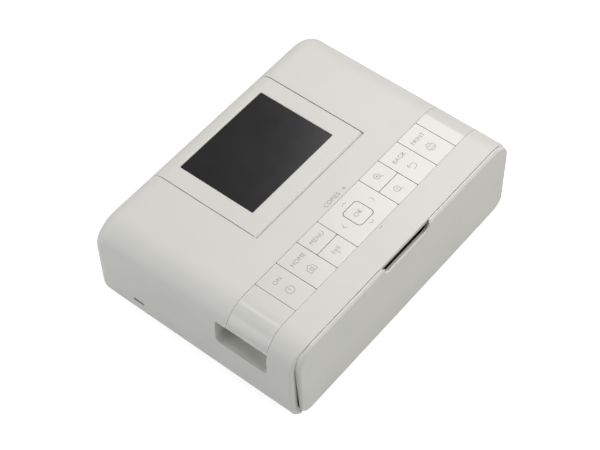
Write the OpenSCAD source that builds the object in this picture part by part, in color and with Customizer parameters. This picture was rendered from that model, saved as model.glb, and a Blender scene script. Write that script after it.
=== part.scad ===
// Compact photo printer: a dye-transfer printer with a tilting display, a key strip,
// a paper compartment behind the front cover and an ink cassette behind a side door.
// X runs to the user's right, Y to the back, Z up. The origin is under the middle of the body.

/* [Body] */
// Width of the body
body_w = 180.6; // [150:0.1:220]
// Depth of the body, front cover included
body_d = 135.9; // [130:0.1:165]
// Height over the feet
body_h = 63.3; // [60:0.1:78]
// Wall of the covers
wall = 2.2; // [1.6:0.1:2.7]
// Radius of the shoulders where the top meets the sides
shoulder_r = 17; // [14:0.5:20.5]
// Radius of the lower side edges
belly_r = 14; // [11:0.5:17]
// Radius of the back top edge
back_top_r = 13.6; // [11:0.1:16.5]
// Radius of the upright back corners
back_corner_r = 8.5; // [7:0.1:10.5]
// Radius of the upright front corners of the top cover
front_corner_r = 4.5; // [3:0.1:5.5]
// Height of the seam between the top cover and the bottom case
parting_z = 7.5; // [6.5:0.1:9]
// Gap at the seams between fixed covers
seam = 0.2; // [0.1:0.05:0.4]
// Height of the feet under the case
foot_h = 3; // [2.5:0.1:3.6]
// Radius of a foot
foot_r = 6; // [4:0.1:7.5]

/* [Front cover] */
// Distance from the front face to the rim of the top cover
cover_depth = 2.45; // [2.2:0.05:3]
// Gap behind and beside the front cover
cover_gap = 0.4; // [0.3:0.05:0.6]
// Inset of the cover's sides from the body's sides, at the top
cover_inset = 3.1; // [2.6:0.1:4]
// Extra inset of the cover's sides at the bottom
cover_taper = 1; // [0:0.1:1.6]
// Radius of the cover's top corners
cover_corner_r = 13; // [10:0.5:15.5]
// Height of the cover's lower edge
cover_low = 9; // [8.8:0.1:10.8]
// Width of the finger notch
notch_w = 37; // [28:0.5:44]
// Depth of the finger notch
notch_depth = 4.2; // [3.4:0.1:5]
// Radius of the cover's hinge pins
cover_pin_r = 2; // [1.6:0.1:2.4]
// Opening angle of the front cover
cover_open = 90; // [75:1:90]

/* [Display] */
// Width of the tilting display panel
panel_w = 87.2; // [73:0.1:104]
// Distance from the front face to the panel's front edge
panel_front = 63; // [60:0.1:70]
// Thickness of the panel
panel_t = 7.1; // [6.6:0.1:8.5]
// Gap around the panel
panel_gap = 0.5; // [0.4:0.05:0.7]
// Width of the display window
glass_w = 65.6; // [55:0.1:78]
// Depth of the display window
glass_d = 49.1; // [41:0.1:56]
// Distance from the panel's front edge to the window
glass_front = 11.7; // [9:0.1:14]
// Radius of the panel's hinge pins
panel_pin_r = 1; // [0.8:0.1:1.2]

/* [Keys] */
// Distance from the front face to the key strip
strip_front = 19.3; // [16:0.1:21]
// Depth of the key strip
strip_d = 26.17; // [22:0.01:29]
// Width of a single key with its gap
key_pitch = 16.35; // [13.6:0.05:19.7]
// Width of the navigation key with its gap
nav_w = 34.04; // [28.3:0.01:41]
// Width of the square key in the middle
ok_w = 11.8; // [9.8:0.1:14.2]
// Gap between keys
key_gap = 0.3; // [0.25:0.05:0.5]
// Thickness of a key cap
key_t = 2.3; // [1.9:0.1:2.8]
// Travel of a key
key_travel = 0.4; // [0.3:0.05:0.45]

/* [Side openings] */
// Distance from the front face to the side recess
recess_front = 18.8; // [17:0.1:22]
// Length of the side recess
recess_l = 33.2; // [31:0.1:39]
// Lower edge of the side recess
recess_z = 36; // [33:0.1:38]
// Height of the side recess
recess_h = 15.6; // [14:0.1:16]
// Depth of the side recess
recess_depth = 9; // [7.5:0.1:10.8]
// Length of the security slot
lock_slot_l = 7.3; // [6:0.1:8.8]
// Height of the security slot
lock_slot_h = 2.2; // [1.8:0.1:2.7]
// Lower edge of the ink door
door_z = 27; // [26:0.1:28.5]
// Height of the ink door
door_h = 27; // [25.5:0.1:29]

/* [Mechanism] */
// Distance from the body's side to the inner face of a side frame
side_bay = 28.3; // [27.5:0.1:34]
// Thickness of the side frames
frame_t = 1.2; // [1:0.1:1.5]
// Distance from the front face to the platen roller
platen_back = 92; // [88:0.5:96]
// Height of the platen and feed rollers' axes
roller_z = 24; // [23:0.1:25]
// Radius of the platen and feed rollers
roller_r = 5.5; // [4.6:0.1:5.8]
// Distance between the feed roller and the platen roller
roller_pitch = 14.5; // [13.2:0.1:15.5]
// Radius of the roller shafts
shaft_r = 2.5; // [2:0.1:3]
// Radial clearance of a running shaft
run = 0.05; // [0.02:0.01:0.08]
// Radius of the pick-up roller
pickup_r = 6.5; // [5.4:0.1:6.9]
// Height of the ink spools' axes
spool_z = 41; // [40.5:0.1:42]
// Distance between the ink spools
spool_pitch = 55; // [53:0.5:56]
// Radius of the ink cassette's tubes
tube_r = 10.2; // [9.6:0.1:10.6]
// Module of the gears
gear_m = 0.5; // [0.42:0.01:0.55]

/* [Hidden] */
$fn = 64;

// Colours of the real pieces
shell_white = [0.86, 0.85, 0.82];
key_white = [0.89, 0.88, 0.86];
inner_grey = [0.45, 0.46, 0.46];
steel = [0.70, 0.71, 0.72];
rubber_black = [0.10, 0.10, 0.11];
board_green = [0.10, 0.32, 0.18];
gear_white = [0.90, 0.90, 0.86];
glass_black = [0.05, 0.05, 0.06];

// Outline of the body
half_w = body_w / 2;
front_y = -body_d / 2;
back_y = body_d / 2;
case_z = foot_h;
floor_z = case_z + wall;
roof_z = body_h - wall;
back_low_r = 4;
rim_y = front_y + cover_depth;

// Front cover
cover_y = rim_y - cover_gap;
cover_hw = half_w - cover_inset;
cover_t = cover_depth - cover_gap;
cover_low_r = 8;
cover_axis = [rim_y + 3.5, 8];
cover_arm_x = cover_hw - 19.2;
cover_arm_w = 3;
cover_pin_l = 5.5;
ear_r = 3.5;
ear_x = cover_arm_x + 5.6;
lip_x = half_w - 7;
notch_x = -1;

// Display panel
panel_y = front_y + panel_front;
nose_r = 2.8;
panel_axis = [panel_y + nose_r, body_h - nose_r];
panel_z = body_h - panel_t;
panel_wall = 1.8;
well_z = panel_z - panel_gap;
well_floor = 1.8;
glass_t = 1;
glass_y = panel_y + glass_front;
glass_sink = 0.2;
module_rim = 2.4;

// Key strip
strip_y = front_y + strip_front;
strip_back = strip_y + strip_d;
strip_hw = nav_w / 2 + 3 * key_pitch;
cap_z = body_h - key_t;
mat_z = cap_z - 2.8;
mat_t = 0.8;
dome_h = 0.9;
board_t = 1.4;
stem_z = mat_z + mat_t + dome_h + 0.5;
strip_low = recess_z + recess_h;

// Ink door
door_y = front_y + 48;
door_back = back_y - 8.5;
door_axis = [half_w - wall / 2, door_back];
knuckle_z = door_z + 15;
knuckle_h = 4;
door_pin_r = 0.5;
door_gap = 0.3;
door_relief = 0.6;

// Side frames and rollers, as [y, z]
frame_x = half_w - side_bay;
frame_out = frame_x + frame_t;
platen = [front_y + platen_back, roller_z];
feed = platen - [roller_pitch, 0];
platen_teeth = 24;
pickup_teeth = 40;
reduction_teeth = 44;
takeup_teeth = 52;
pinion_teeth = 12;
function pitch_r(teeth) = teeth * gear_m / 2;
pickup_angle = 190;
pickup = feed + (pitch_r(platen_teeth) + pitch_r(pickup_teeth))
    * [cos(pickup_angle), sin(pickup_angle)];
train_span = pitch_r(reduction_teeth) + pitch_r(platen_teeth);
reduction = [(platen[0] + feed[0]) / 2,
    roller_z + sqrt(pow(train_span, 2) - pow(roller_pitch / 2, 2))];
takeup_span = pitch_r(reduction_teeth) + pitch_r(takeup_teeth);
takeup = [reduction[0] - sqrt(pow(takeup_span, 2) - pow(spool_z - reduction[1], 2)), spool_z];
supply = takeup + [spool_pitch, 0];
pinion_angle = -4;
motor = reduction + (pitch_r(reduction_teeth) + pitch_r(pinion_teeth))
    * [cos(pinion_angle), sin(pinion_angle)];
gear_w = 3;
gear_lane = 0.6;
lane_1 = -(frame_out + 1);
lane_2 = lane_1 - gear_w - gear_lane;
platen_top = roller_z + roller_r;
film_z = platen_top + 0.5;
head_z = film_z + 0.5;
head_hw = frame_x - 9;
cassette_hw = frame_x - 4;
spool_core_r = 4;
roll_r = 8;
takeup_roll_r = 5.4;
head_axis = [platen[0] + 8.5, spool_z + 5];
rod_r = 2;
bar_z = spool_z + 10;
bush_r = shaft_r + 1.5;
tunnel_hw = frame_x - 4.5;
tunnel_top = platen_top + 2;
board_z = tunnel_top + 4.5;
panel_plate_y = rim_y + 4;

// Rounded rectangle from [x0, y0] to [x1, y1]; radii start at the lower left and go round
module round_rect(x0, y0, x1, y1, r) {
    polygon([[x0 + r[0], y0], [x1 - r[1], y0], [x1, y0 + r[1]], [x1, y1 - r[2]],
        [x1 - r[2], y1], [x0 + r[3], y1], [x0, y1 - r[3]], [x0, y0 + r[0]]]);
    if (r[0] > 0) translate([x0 + r[0], y0 + r[0]]) circle(r[0]);
    if (r[1] > 0) translate([x1 - r[1], y0 + r[1]]) circle(r[1]);
    if (r[2] > 0) translate([x1 - r[2], y1 - r[2]]) circle(r[2]);
    if (r[3] > 0) translate([x0 + r[3], y1 - r[3]]) circle(r[3]);
}

// Extrusions of an outline along X (outline in y, z) and along Y (outline in x, z)
module along_x(x0, x1) {
    translate([x0, 0, 0]) rotate([90, 0, 90]) linear_extrude(x1 - x0) children();
}

module along_y(y0, y1) {
    translate([0, y1, 0]) rotate([90, 0, 0]) linear_extrude(y1 - y0) children();
}

module box(low, high) {
    translate(low) cube(high - low);
}

// Cylinder along X at p = [y, z]
module rod_x(x0, x1, p, r) {
    translate([x0, p[0], p[1]]) rotate([0, 90, 0]) cylinder(h = x1 - x0, r = r);
}

// Outer form of the body, moved in by d, from y0 to the back
module body_form(d, y0, front_r) {
    intersection() {
        along_y(y0, back_y) round_rect(-half_w + d, case_z + d, half_w - d, body_h - d,
            [belly_r - d, belly_r - d, shoulder_r - d, shoulder_r - d]);
        along_x(-half_w, half_w) round_rect(y0, case_z + d, back_y - d, body_h - d,
            [0, back_low_r - d, back_top_r - d, 0]);
        linear_extrude(body_h) round_rect(-half_w + d, y0, half_w - d, back_y - d,
            [front_r, front_r, back_corner_r - d, back_corner_r - d]);
    }
}

module body_skin() {
    difference() {
        body_form(0, rim_y, front_corner_r);
        body_form(wall, rim_y - 1, 0);
    }
}

// Screw posts, shared by the case, the cover and the screws
post_r = 3.2;
screw_r = 1.25;
screw_head_r = 2.6;
post_x = half_w - 10.5;
post_front = rim_y + 9.5;
post_back = back_y - 6.5;
module at_posts() {
    for (x = [-post_x, post_x], y = [post_front, post_back]) translate([x, y, 0]) children();
}

module at_feet() {
    for (x = [-half_w + 18.5, half_w - 18.5], y = [front_y + 18, back_y - 18])
        translate([x, y, 0]) children();
}

vent_count = 9;
vent_pitch = 4;
vent_w = 1.6;
slot_hw = tunnel_hw - 3.5;
slot_z0 = roller_z + 2;
slot_z1 = platen_top + 3.5;
dc_x = -half_w + 34;
dc_z = case_z + 14;
battery_x = half_w - 52;
battery_hw = 17;
battery_z0 = case_z + 7;
battery_z1 = case_z + 19;
recess_wall = 1.5;
recess_x = -half_w + recess_depth;
recess_y = front_y + recess_front;
card_w = 24.4;
card_h = 3;
card_z = recess_z + 9;
usb_w = 13.2;
usb_h = 5.8;
usb_z = recess_z + 1.6;
usb_y = recess_y + 6;
card_y = recess_y + 0.5;
lock_slot_y = back_y - 33.9;
lock_slot_z = case_z + 18;

module recess_cavity(grow) {
    along_x(-half_w - 1, recess_x + grow)
        round_rect(recess_y - grow, recess_z - grow, recess_y + recess_l + grow,
            recess_z + recess_h + grow, [3 + grow, 3 + grow, 0, 0]);
}

module top_cover() color(shell_white) difference() {
    union() {
        intersection() {
            body_skin();
            box([-half_w, rim_y - 1, parting_z + seam], [half_w, back_y, body_h]);
        }
        // Tub of the display panel
        intersection() {
            box([-panel_w / 2 - panel_gap - panel_wall, panel_y - panel_gap - panel_wall,
                well_z - well_floor], [panel_w / 2 + panel_gap + panel_wall, back_y, body_h]);
            body_form(wall / 2, rim_y, 0);
        }
        // Tub of the side recess
        intersection() {
            recess_cavity(recess_wall);
            body_form(wall / 2, rim_y, 0);
        }
        // Screw posts with a rib to the side wall
        at_posts() translate([0, 0, parting_z + seam])
            cylinder(h = strip_low - parting_z - 6, r = post_r);
        intersection() {
            for (s = [-1, 1], y = [post_front, post_back])
                box([min(s * half_w, s * post_x), y - 0.9, parting_z + seam],
                    [max(s * half_w, s * post_x), y + 0.9, strip_low - 8]);
            body_form(wall / 2, rim_y, 0);
        }
        // Upper knuckle of the ink door
        translate([door_axis[0], door_axis[1], knuckle_z]) cylinder(h = knuckle_h, r = wall / 2);
    }
    at_posts() translate([0, 0, -1]) cylinder(h = 40, r = screw_r + run);
    // Room for the display panel, open at the back
    box([-panel_w / 2 - panel_gap, panel_y - panel_gap, well_z],
        [panel_w / 2 + panel_gap, back_y + 1, body_h + 1]);
    for (s = [-1, 1]) rod_x(s * (panel_w / 2 + 3) - 4, s * (panel_w / 2 + 3) + 4,
        panel_axis, panel_pin_r + run);
    // Room for the key strip
    box([-half_w - 1, strip_y, strip_low], [half_w + 1, strip_back, body_h + 1]);
    // Side recess with its socket openings, security slot
    recess_cavity(0);
    box([recess_x - 1, card_y, card_z], [recess_x + 3, card_y + card_w, card_z + card_h]);
    box([recess_x - 1, usb_y, usb_z], [recess_x + 3, usb_y + usb_w, usb_z + usb_h]);
    box([-half_w - 1, lock_slot_y, lock_slot_z],
        [-half_w + wall + 1, lock_slot_y + lock_slot_l, lock_slot_z + lock_slot_h]);
    // Ink door opening, stepped round the upper knuckle
    difference() {
        box([half_w - wall - 4, door_y, door_z],
            [half_w + 1, door_back + wall / 2 + door_gap, door_z + door_h]);
        box([0, door_back - door_relief, knuckle_z], [half_w + 2, back_y, door_z + door_h + 1]);
    }
    translate([door_axis[0], door_axis[1], door_z - 3])
        cylinder(h = knuckle_z + knuckle_h - door_z + 2, r = door_pin_r + run);
    // Back: paper slot, vents, power inlet, battery opening
    box([-slot_hw, back_y - 8, slot_z0], [slot_hw, back_y + 1, slot_z1]);
    for (i = [0 : vent_count - 1])
        translate([-half_w + 27 + i * vent_pitch, back_y - 4, slot_z1 + 6]) cube([vent_w, 5, 9]);
    translate([dc_x, back_y + 1, dc_z]) rotate([90, 0, 0]) cylinder(h = 9, r = 4.2);
    box([battery_x - battery_hw, back_y - 4, battery_z0],
        [battery_x + battery_hw, back_y + 1, battery_z1]);
}

module bottom_case() color(shell_white) difference() {
    union() {
        intersection() {
            body_skin();
            box([-half_w, rim_y - 1, case_z - 1], [half_w, back_y, parting_z]);
        }
        // Ears for the cover's hinge pins, and the sill of the paper compartment
        for (s = [-1, 1]) {
            rod_x(s * ear_x - 2, s * ear_x + 2, cover_axis, ear_r);
            box([s * ear_x - 2, cover_axis[0], floor_z - 1],
                [s * ear_x + 2, cover_axis[0] + 5, cover_axis[1]]);
        }
        box([-tunnel_hw, cover_axis[0] + 0.6, floor_z - 1], [tunnel_hw, cover_axis[0] + 2.2,
            floor_z + 1.8]);
        at_posts() translate([0, 0, case_z + 0.5]) cylinder(h = parting_z - case_z - 0.5, r = post_r);
        at_feet() translate([0, 0, case_z + 0.6]) cylinder(h = wall, r = foot_r + 1.5);
    }
    // Front recess that the cover's lower edge swings through, deeper at the hinge arms
    difference() {
        union() {
            box([-lip_x, rim_y - 1, case_z - 1], [lip_x, cover_axis[0] - 0.5, body_h]);
            for (s = [-1, 1])
                box([s * cover_arm_x - cover_arm_w / 2 - 0.4, rim_y - 1, case_z - 1],
                    [s * cover_arm_x + cover_arm_w / 2 + 0.4, cover_axis[0] + 2.5, body_h]);
        }
        for (s = [-1, 1]) rod_x(s * ear_x - 2, s * ear_x + 2, cover_axis, ear_r);
    }
    for (s = [-1, 1]) rod_x(s * ear_x - 3, s * ear_x + 3, cover_axis, cover_pin_r + run);
    at_posts() {
        translate([0, 0, case_z - 1]) cylinder(h = 3, r = screw_head_r + 0.2);
        cylinder(h = 20, r = screw_r + 0.2);
    }
    at_feet() translate([0, 0, case_z - 1]) cylinder(h = 1.6, r = foot_r + 0.05);
}

// Outline of the front cover in x, z, moved in by d
module cover_outline(d) {
    hw = cover_hw - d;
    low_hw = hw - cover_taper;
    low = cover_low + d;
    top = body_h - d;
    r = cover_corner_r - d;
    lr = cover_low_r - d;
    polygon([[-low_hw + lr, low], [low_hw - lr, low], [low_hw, low + lr], [hw, top - r],
        [hw - r, top], [-hw + r, top], [-hw, top - r], [-low_hw, low + lr]]);
    for (s = [-1, 1]) {
        translate([s * (low_hw - lr), low + lr]) circle(lr);
        translate([s * (hw - r), top - r]) circle(r);
    }
}

module front_cover() color(shell_white) difference() {
    union() {
        along_y(front_y + 0.8, cover_y) cover_outline(0);
        along_y(front_y, front_y + 0.9) cover_outline(0.8);
        // Stiffening ring behind the plate
        difference() {
            along_y(cover_y - 0.5, cover_y + 3) cover_outline(6);
            along_y(cover_y - 1, cover_y + 4) cover_outline(7.6);
        }
        for (s = [-1, 1]) {
            // Hinge arm and pin
            box([s * cover_arm_x - cover_arm_w / 2, cover_y - 0.5, cover_low + 1],
                [s * cover_arm_x + cover_arm_w / 2, cover_axis[0], cover_axis[1] + 6]);
            rod_x(s * cover_arm_x - cover_arm_w / 2, s * cover_arm_x + cover_arm_w / 2,
                cover_axis, ear_r - 0.3);
            rod_x(min(s * cover_arm_x, s * (cover_arm_x + 1.5 + cover_pin_l)),
                max(s * cover_arm_x, s * (cover_arm_x + 1.5 + cover_pin_l)),
                cover_axis, cover_pin_r);
            // Snap hook at the top
            box([s * cover_hw * 0.62 - 4, cover_y - 0.5, roof_z - 3.6],
                [s * cover_hw * 0.62 + 4, cover_y + 4, roof_z - 2.2]);
        }
    }
    // Finger notch with round ends
    along_y(front_y - 1, cover_y + 4) round_rect(notch_x - notch_w / 2, body_h - notch_depth,
        notch_x + notch_w / 2, body_h + 5, [2, 2, 0, 0]);
    along_y(cover_y, cover_y + 4) round_rect(notch_x - notch_w / 2 - 1, body_h - notch_depth - 6,
        notch_x + notch_w / 2 + 1, body_h + 5, [2, 2, 0, 0]);
}

module inner_front_panel() color(inner_grey) difference() {
    intersection() {
        body_form(wall + 0.3, rim_y, 0);
        box([-half_w, panel_plate_y, cover_axis[1] + 4.8],
            [half_w, panel_plate_y + 2, body_h]);
    }
    box([-tunnel_hw - 0.5, panel_plate_y - 1, 0], [tunnel_hw + 0.5, panel_plate_y + 3, tunnel_top]);
    at_posts() cylinder(h = body_h, r = post_r + 0.3);
}

module rubber_feet() color(rubber_black) at_feet() cylinder(h = case_z + 0.6, r = foot_r);

module case_screws() color(steel) at_posts() {
    difference() {
        translate([0, 0, case_z + 0.2]) cylinder(h = 1.6, r = screw_head_r);
        for (a = [0, 90]) rotate(a) translate([-1.5, -0.35, case_z - 0.8]) cube([3, 0.7, 2]);
    }
    translate([0, 0, case_z + 1]) cylinder(h = 12, r = screw_r);
}

// Shoulder ends of the key strip and the tray that carries the keys between them
module key_frame() color(key_white) {
    difference() {
        intersection() {
            body_form(0, rim_y, 0);
            box([-half_w, strip_y + seam, strip_low + seam], [half_w, strip_back - seam, body_h]);
        }
        body_form(wall, rim_y - 1, 0);
        box([-strip_hw - key_gap / 2, strip_y - 1, cap_z - 1],
            [strip_hw + key_gap / 2, strip_back + 1, body_h + 1]);
    }
    // Legs from the ends down to the tray, and the roof of the side recess
    for (s = [-1, 1]) box([s * (strip_hw + 2.4) - 1.5, strip_y + 1, tray_z],
        [s * (strip_hw + 2.4) + 1.5, strip_back - 1, roof_z + 0.4]);
    box([-strip_hw - 3, strip_y + 1, tray_z], [strip_hw + 3, strip_back - 1, tray_z + 1.2]);
    box([-half_w + wall / 2, strip_y + seam, strip_low + seam],
        [recess_x + recess_wall, strip_back - seam, strip_low + seam + 1.3]);
}

// A key cap from x0 to x1 and y0 to y1 on its stem
module key_cap(x0, x1, y0, y1) {
    g = key_gap / 2;
    translate([0, 0, cap_z]) linear_extrude(key_t)
        round_rect(x0 + g, y0 + g, x1 - g, y1 - g, [0.4, 0.4, 0.4, 0.4]);
    translate([(x0 + x1) / 2, (y0 + y1) / 2, stem_z]) cylinder(h = cap_z - stem_z + 0.5, r = 1.8);
}

// Column of the strip: 0 to 2 left of the navigation key, 3 to 5 right of it
function column_x(i) = i < 3 ? -strip_hw + i * key_pitch : nav_w / 2 + (i - 3) * key_pitch;
strip_mid = (strip_y + strip_back) / 2;

module full_key(i) color(key_white) key_cap(column_x(i), column_x(i) + key_pitch,
    strip_y, strip_back);
module front_key(i) color(key_white) key_cap(column_x(i), column_x(i) + key_pitch,
    strip_y, strip_mid);
module back_half_key(i) color(key_white) key_cap(column_x(i), column_x(i) + key_pitch,
    strip_mid, strip_back);

module power_key() full_key(0);
module home_key() full_key(1);
module menu_key() back_half_key(2);
module wireless_key() front_key(2);
module zoom_in_key() back_half_key(3);
module zoom_out_key() front_key(3);
module back_key() full_key(4);
module print_key() full_key(5);

nav_hole = ok_w / 2 + key_gap;
module nav_key() color(key_white) difference() {
    translate([0, 0, cap_z]) linear_extrude(key_t) round_rect(-nav_w / 2 + key_gap / 2,
        strip_y + key_gap / 2, nav_w / 2 - key_gap / 2, strip_back - key_gap / 2,
        [0.4, 0.4, 0.4, 0.4]);
    translate([0, 0, cap_z - 1]) linear_extrude(key_t + 2)
        round_rect(-nav_hole, strip_mid - nav_hole, nav_hole, strip_mid + nav_hole,
            [2.3, 2.3, 2.3, 2.3]);
}

module ok_key() color(key_white) {
    translate([0, 0, cap_z]) linear_extrude(key_t)
        round_rect(-ok_w / 2, strip_mid - ok_w / 2, ok_w / 2, strip_mid + ok_w / 2, [2, 2, 2, 2]);
    translate([0, strip_mid, stem_z]) cylinder(h = cap_z - stem_z + 0.5, r = 1.8);
}

// Rubber ring under the navigation key
module nav_pad() color(inner_grey) translate([0, strip_mid, cap_z - 1.6]) difference() {
    cylinder(h = 1.3, r = 12);
    translate([0, 0, -1]) cylinder(h = 4, r = 9.2);
}

// Rubber mat with one dome under each key
module key_mat() color(inner_grey) {
    box([-strip_hw, strip_y + 1.5, mat_z], [strip_hw, strip_back - 1.5, mat_z + mat_t]);
    translate([0, 0, mat_z]) {
        for (i = [0, 1, 4, 5]) translate([column_x(i) + key_pitch / 2, strip_mid, 0])
            cylinder(h = mat_t + dome_h, r = 2.6);
        for (i = [2, 3], y = [(strip_y + strip_mid) / 2, (strip_mid + strip_back) / 2])
            translate([column_x(i) + key_pitch / 2, y, 0]) cylinder(h = mat_t + dome_h, r = 2.6);
        translate([0, strip_mid, 0]) cylinder(h = mat_t + dome_h, r = 2.4);
    }
}

tray_z = mat_z - board_t - 1.2;
module key_board() color(board_green)
    box([-strip_hw, strip_y + 1.5, mat_z - board_t], [strip_hw, strip_back - 1.5, mat_z]);

// Section of the display panel in y, z, moved in by d
module panel_section(d) {
    translate(panel_axis) circle(nose_r - d);
    intersection() {
        round_rect(rim_y, case_z + d, back_y - d, body_h - d,
            [0, back_low_r - d, back_top_r - d, 0]);
        translate([panel_axis[0], panel_z]) square([body_d, body_h]);
    }
}

module screen_frame() color(shell_white) difference() {
    along_x(-panel_w / 2, panel_w / 2) panel_section(0);
    along_x(-panel_w / 2 + panel_wall, panel_w / 2 - panel_wall) intersection() {
        panel_section(panel_wall);
        translate([panel_axis[0] + nose_r, 0]) square([body_d, body_h]);
    }
    box([-panel_w / 2 + panel_wall, panel_axis[0] + nose_r, panel_z - 1],
        [panel_w / 2 - panel_wall, back_y - back_top_r + 4, body_h - panel_wall - 2]);
    box([-glass_w / 2, glass_y, body_h - panel_wall - 1],
        [glass_w / 2, glass_y + glass_d, body_h + 1]);
    for (s = [-1, 1]) rod_x(s * (panel_w / 2 - 4) - 5, s * (panel_w / 2 - 4) + 5,
        panel_axis, panel_pin_r + run);
}

module screen_hinge_pins() color(steel) for (s = [-1, 1])
    rod_x(s * (panel_w / 2 - 1.8) - 4, s * (panel_w / 2 - 1.8) + 4, panel_axis, panel_pin_r);

back_plate_y = panel_axis[0] + nose_r + 0.2;
back_plate_l = back_y - back_top_r + 3.8 - back_plate_y;
module screen_back() color(inner_grey) difference() {
    translate([-panel_w / 2 + panel_wall + 0.2, back_plate_y, panel_z])
        cube([panel_w - 2 * panel_wall - 0.4, back_plate_l, 1.2]);
    for (s = [-1, 1], y = [5, back_plate_l - 5])
        translate([s * (panel_w / 2 - 7), back_plate_y + y, panel_z - 1]) cylinder(h = 3, r = 1.2);
}

glass_top = body_h - glass_sink;
module display_glass() color(glass_black) translate([0, 0, glass_top - glass_t])
    linear_extrude(glass_t) round_rect(-glass_w / 2 + 0.1, glass_y + 0.1, glass_w / 2 - 0.1,
        glass_y + glass_d - 0.1, [0.6, 0.6, 0.6, 0.6]);

module display_module() color(steel)
    box([-glass_w / 2 - module_rim, glass_y - module_rim, panel_z + 1.3],
        [glass_w / 2 + module_rim, glass_y + glass_d + module_rim, body_h - panel_wall - 0.8]);

// Holes for the shafts in a side frame, as cutters along X
module frame_holes() {
    for (p = [platen, feed]) rod_x(-1, frame_t + 1, p, bush_r + run);
    rod_x(-1, frame_t + 1, pickup, shaft_r + run);
    rod_x(-1, frame_t + 1, head_axis, rod_r + run);
}

frame_front = pickup[0] - 9;
frame_back = supply[0] + tube_r + 3;
frame_top = well_z - well_floor - 0.5;
bar_y = platen[0] - 1;
module frame_plate() {
    difference() {
        along_x(0, frame_t) round_rect(frame_front, floor_z, frame_back, frame_top, [0, 0, 6, 6]);
        frame_holes();
        // Slots for the cross bar's tabs
        box([-1, bar_y - 6, bar_z], [frame_t + 1, bar_y + 6, bar_z + frame_t]);
    }
    // Foot flange with two screw holes
    difference() {
        box([-8, frame_front, floor_z], [0.1, frame_back, floor_z + frame_t]);
        for (y = [frame_front + 8, frame_back - 8]) translate([-4, y, 0]) cylinder(h = 20, r = 1.6);
    }
}

module left_frame() color(steel) difference() {
    translate([-frame_x, 0, 0]) mirror([1, 0, 0]) frame_plate();
    rod_x(-frame_out - 1, -frame_x + 1, takeup, shaft_r + run);
}

// The right frame has a window through which the ink cassette slides
module right_frame() color(steel) {
    difference() {
        translate([frame_x, 0, 0]) frame_plate();
        for (p = [takeup, supply]) rod_x(frame_x - 1, frame_out + 1, p, tube_r + 0.8);
        box([frame_x - 1, takeup[0], cassette_low - 0.5],
            [frame_out + 1, supply[0], cassette_low + 4.5]);
    }
    // Stud that the lock lever turns on
    rod_x(frame_out - 0.1, lever_x + 2.6, lever, lever_stud_r);
    rod_x(frame_out - 0.1, lever_x - 0.3, lever, lever_stud_r + 1);
}

module cross_bar() color(steel) {
    box([-frame_out, bar_y - 5.9, bar_z + 0.05], [frame_out, bar_y + 5.9, bar_z + frame_t - 0.05]);
    for (s = [-1, 1]) translate([s * spring_x, platen[0], bar_z - 0.9]) cylinder(h = 1, r = 1.4);
}

// Ceiling and side walls over the paper cassette
module paper_tunnel() color(inner_grey) difference() {
    box([-tunnel_hw - 2, panel_plate_y + 2, floor_z],
        [tunnel_hw + 2, takeup[0] - tube_r - 0.6, tunnel_top + 1.5]);
    box([-tunnel_hw, rim_y, floor_z - 1], [tunnel_hw, back_y, tunnel_top]);
}

module pickup_roller() {
    color(steel) rod_x(lane_1 - gear_w - 0.3, frame_out + 1.5, pickup, shaft_r);
    color(rubber_black) for (s = [-1, 1]) rod_x(s * 9 - 5, s * 9 + 5, pickup, pickup_r);
}
module feed_roller() color(steel) {
    rod_x(lane_1 - gear_w - 0.3, frame_out + 1.5, feed, shaft_r);
    rod_x(-head_hw, head_hw, feed, roller_r);
}
module platen_roller() color(rubber_black) {
    rod_x(lane_1 - gear_w - 0.3, frame_out + 1.5, platen, shaft_r);
    rod_x(-head_hw, head_hw, platen, roller_r);
}

module roller_bushes() color(gear_white) for (p = [platen, feed], s = [-1, 1]) difference() {
    union() {
        rod_x(s * (frame_x + frame_t / 2) - 1.4, s * (frame_x + frame_t / 2) + 1.4, p, bush_r);
        rod_x(s * (frame_x - 0.5) - 0.45, s * (frame_x - 0.5) + 0.45, p, bush_r + 1);
    }
    rod_x(s * frame_x - 5, s * frame_x + 5, p, shaft_r + run);
}

pinch_r = 2;
pinch = [feed[0], platen_top + 0.4 + pinch_r];
pinch_ear_x = head_hw - 7;
module pinch_roller() color(steel) {
    rod_x(-pinch_ear_x - 2, pinch_ear_x + 2, pinch, 1);
    for (s = [-1, 1]) rod_x(s * head_hw / 2 - 14, s * head_hw / 2 + 14, pinch, pinch_r);
}
// Beam in front of the pinch roller; its ends rise over the ink cassette's end plates
module pinch_bracket() color(steel) difference() {
    y0 = pinch[0] - 4.2;
    y1 = pinch[0] + 1.7;
    top = spool_z - 2.5;
    union() {
        box([-head_hw - 0.2, y0, pinch[1] - 1.5], [head_hw + 0.2, y0 + 1.2, pinch[1] + 3.4]);
        for (s = [-1, 1]) {
            box([s * pinch_ear_x - 0.6, y0, pinch[1] - 1.7],
                [s * pinch_ear_x + 0.6, y1, pinch[1] + 1.7]);
            box([s * (head_hw - 0.4) - 0.6, y0, pinch[1]], [s * (head_hw - 0.4) + 0.6, y1, top]);
            box([min(s * (head_hw - 1), s * frame_x), y0, top - 1.2],
                [max(s * (head_hw - 1), s * frame_x), y1, top]);
        }
    }
    for (s = [-1, 1]) rod_x(s * pinch_ear_x - 2, s * pinch_ear_x + 2, pinch, 1 + run);
}

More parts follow.
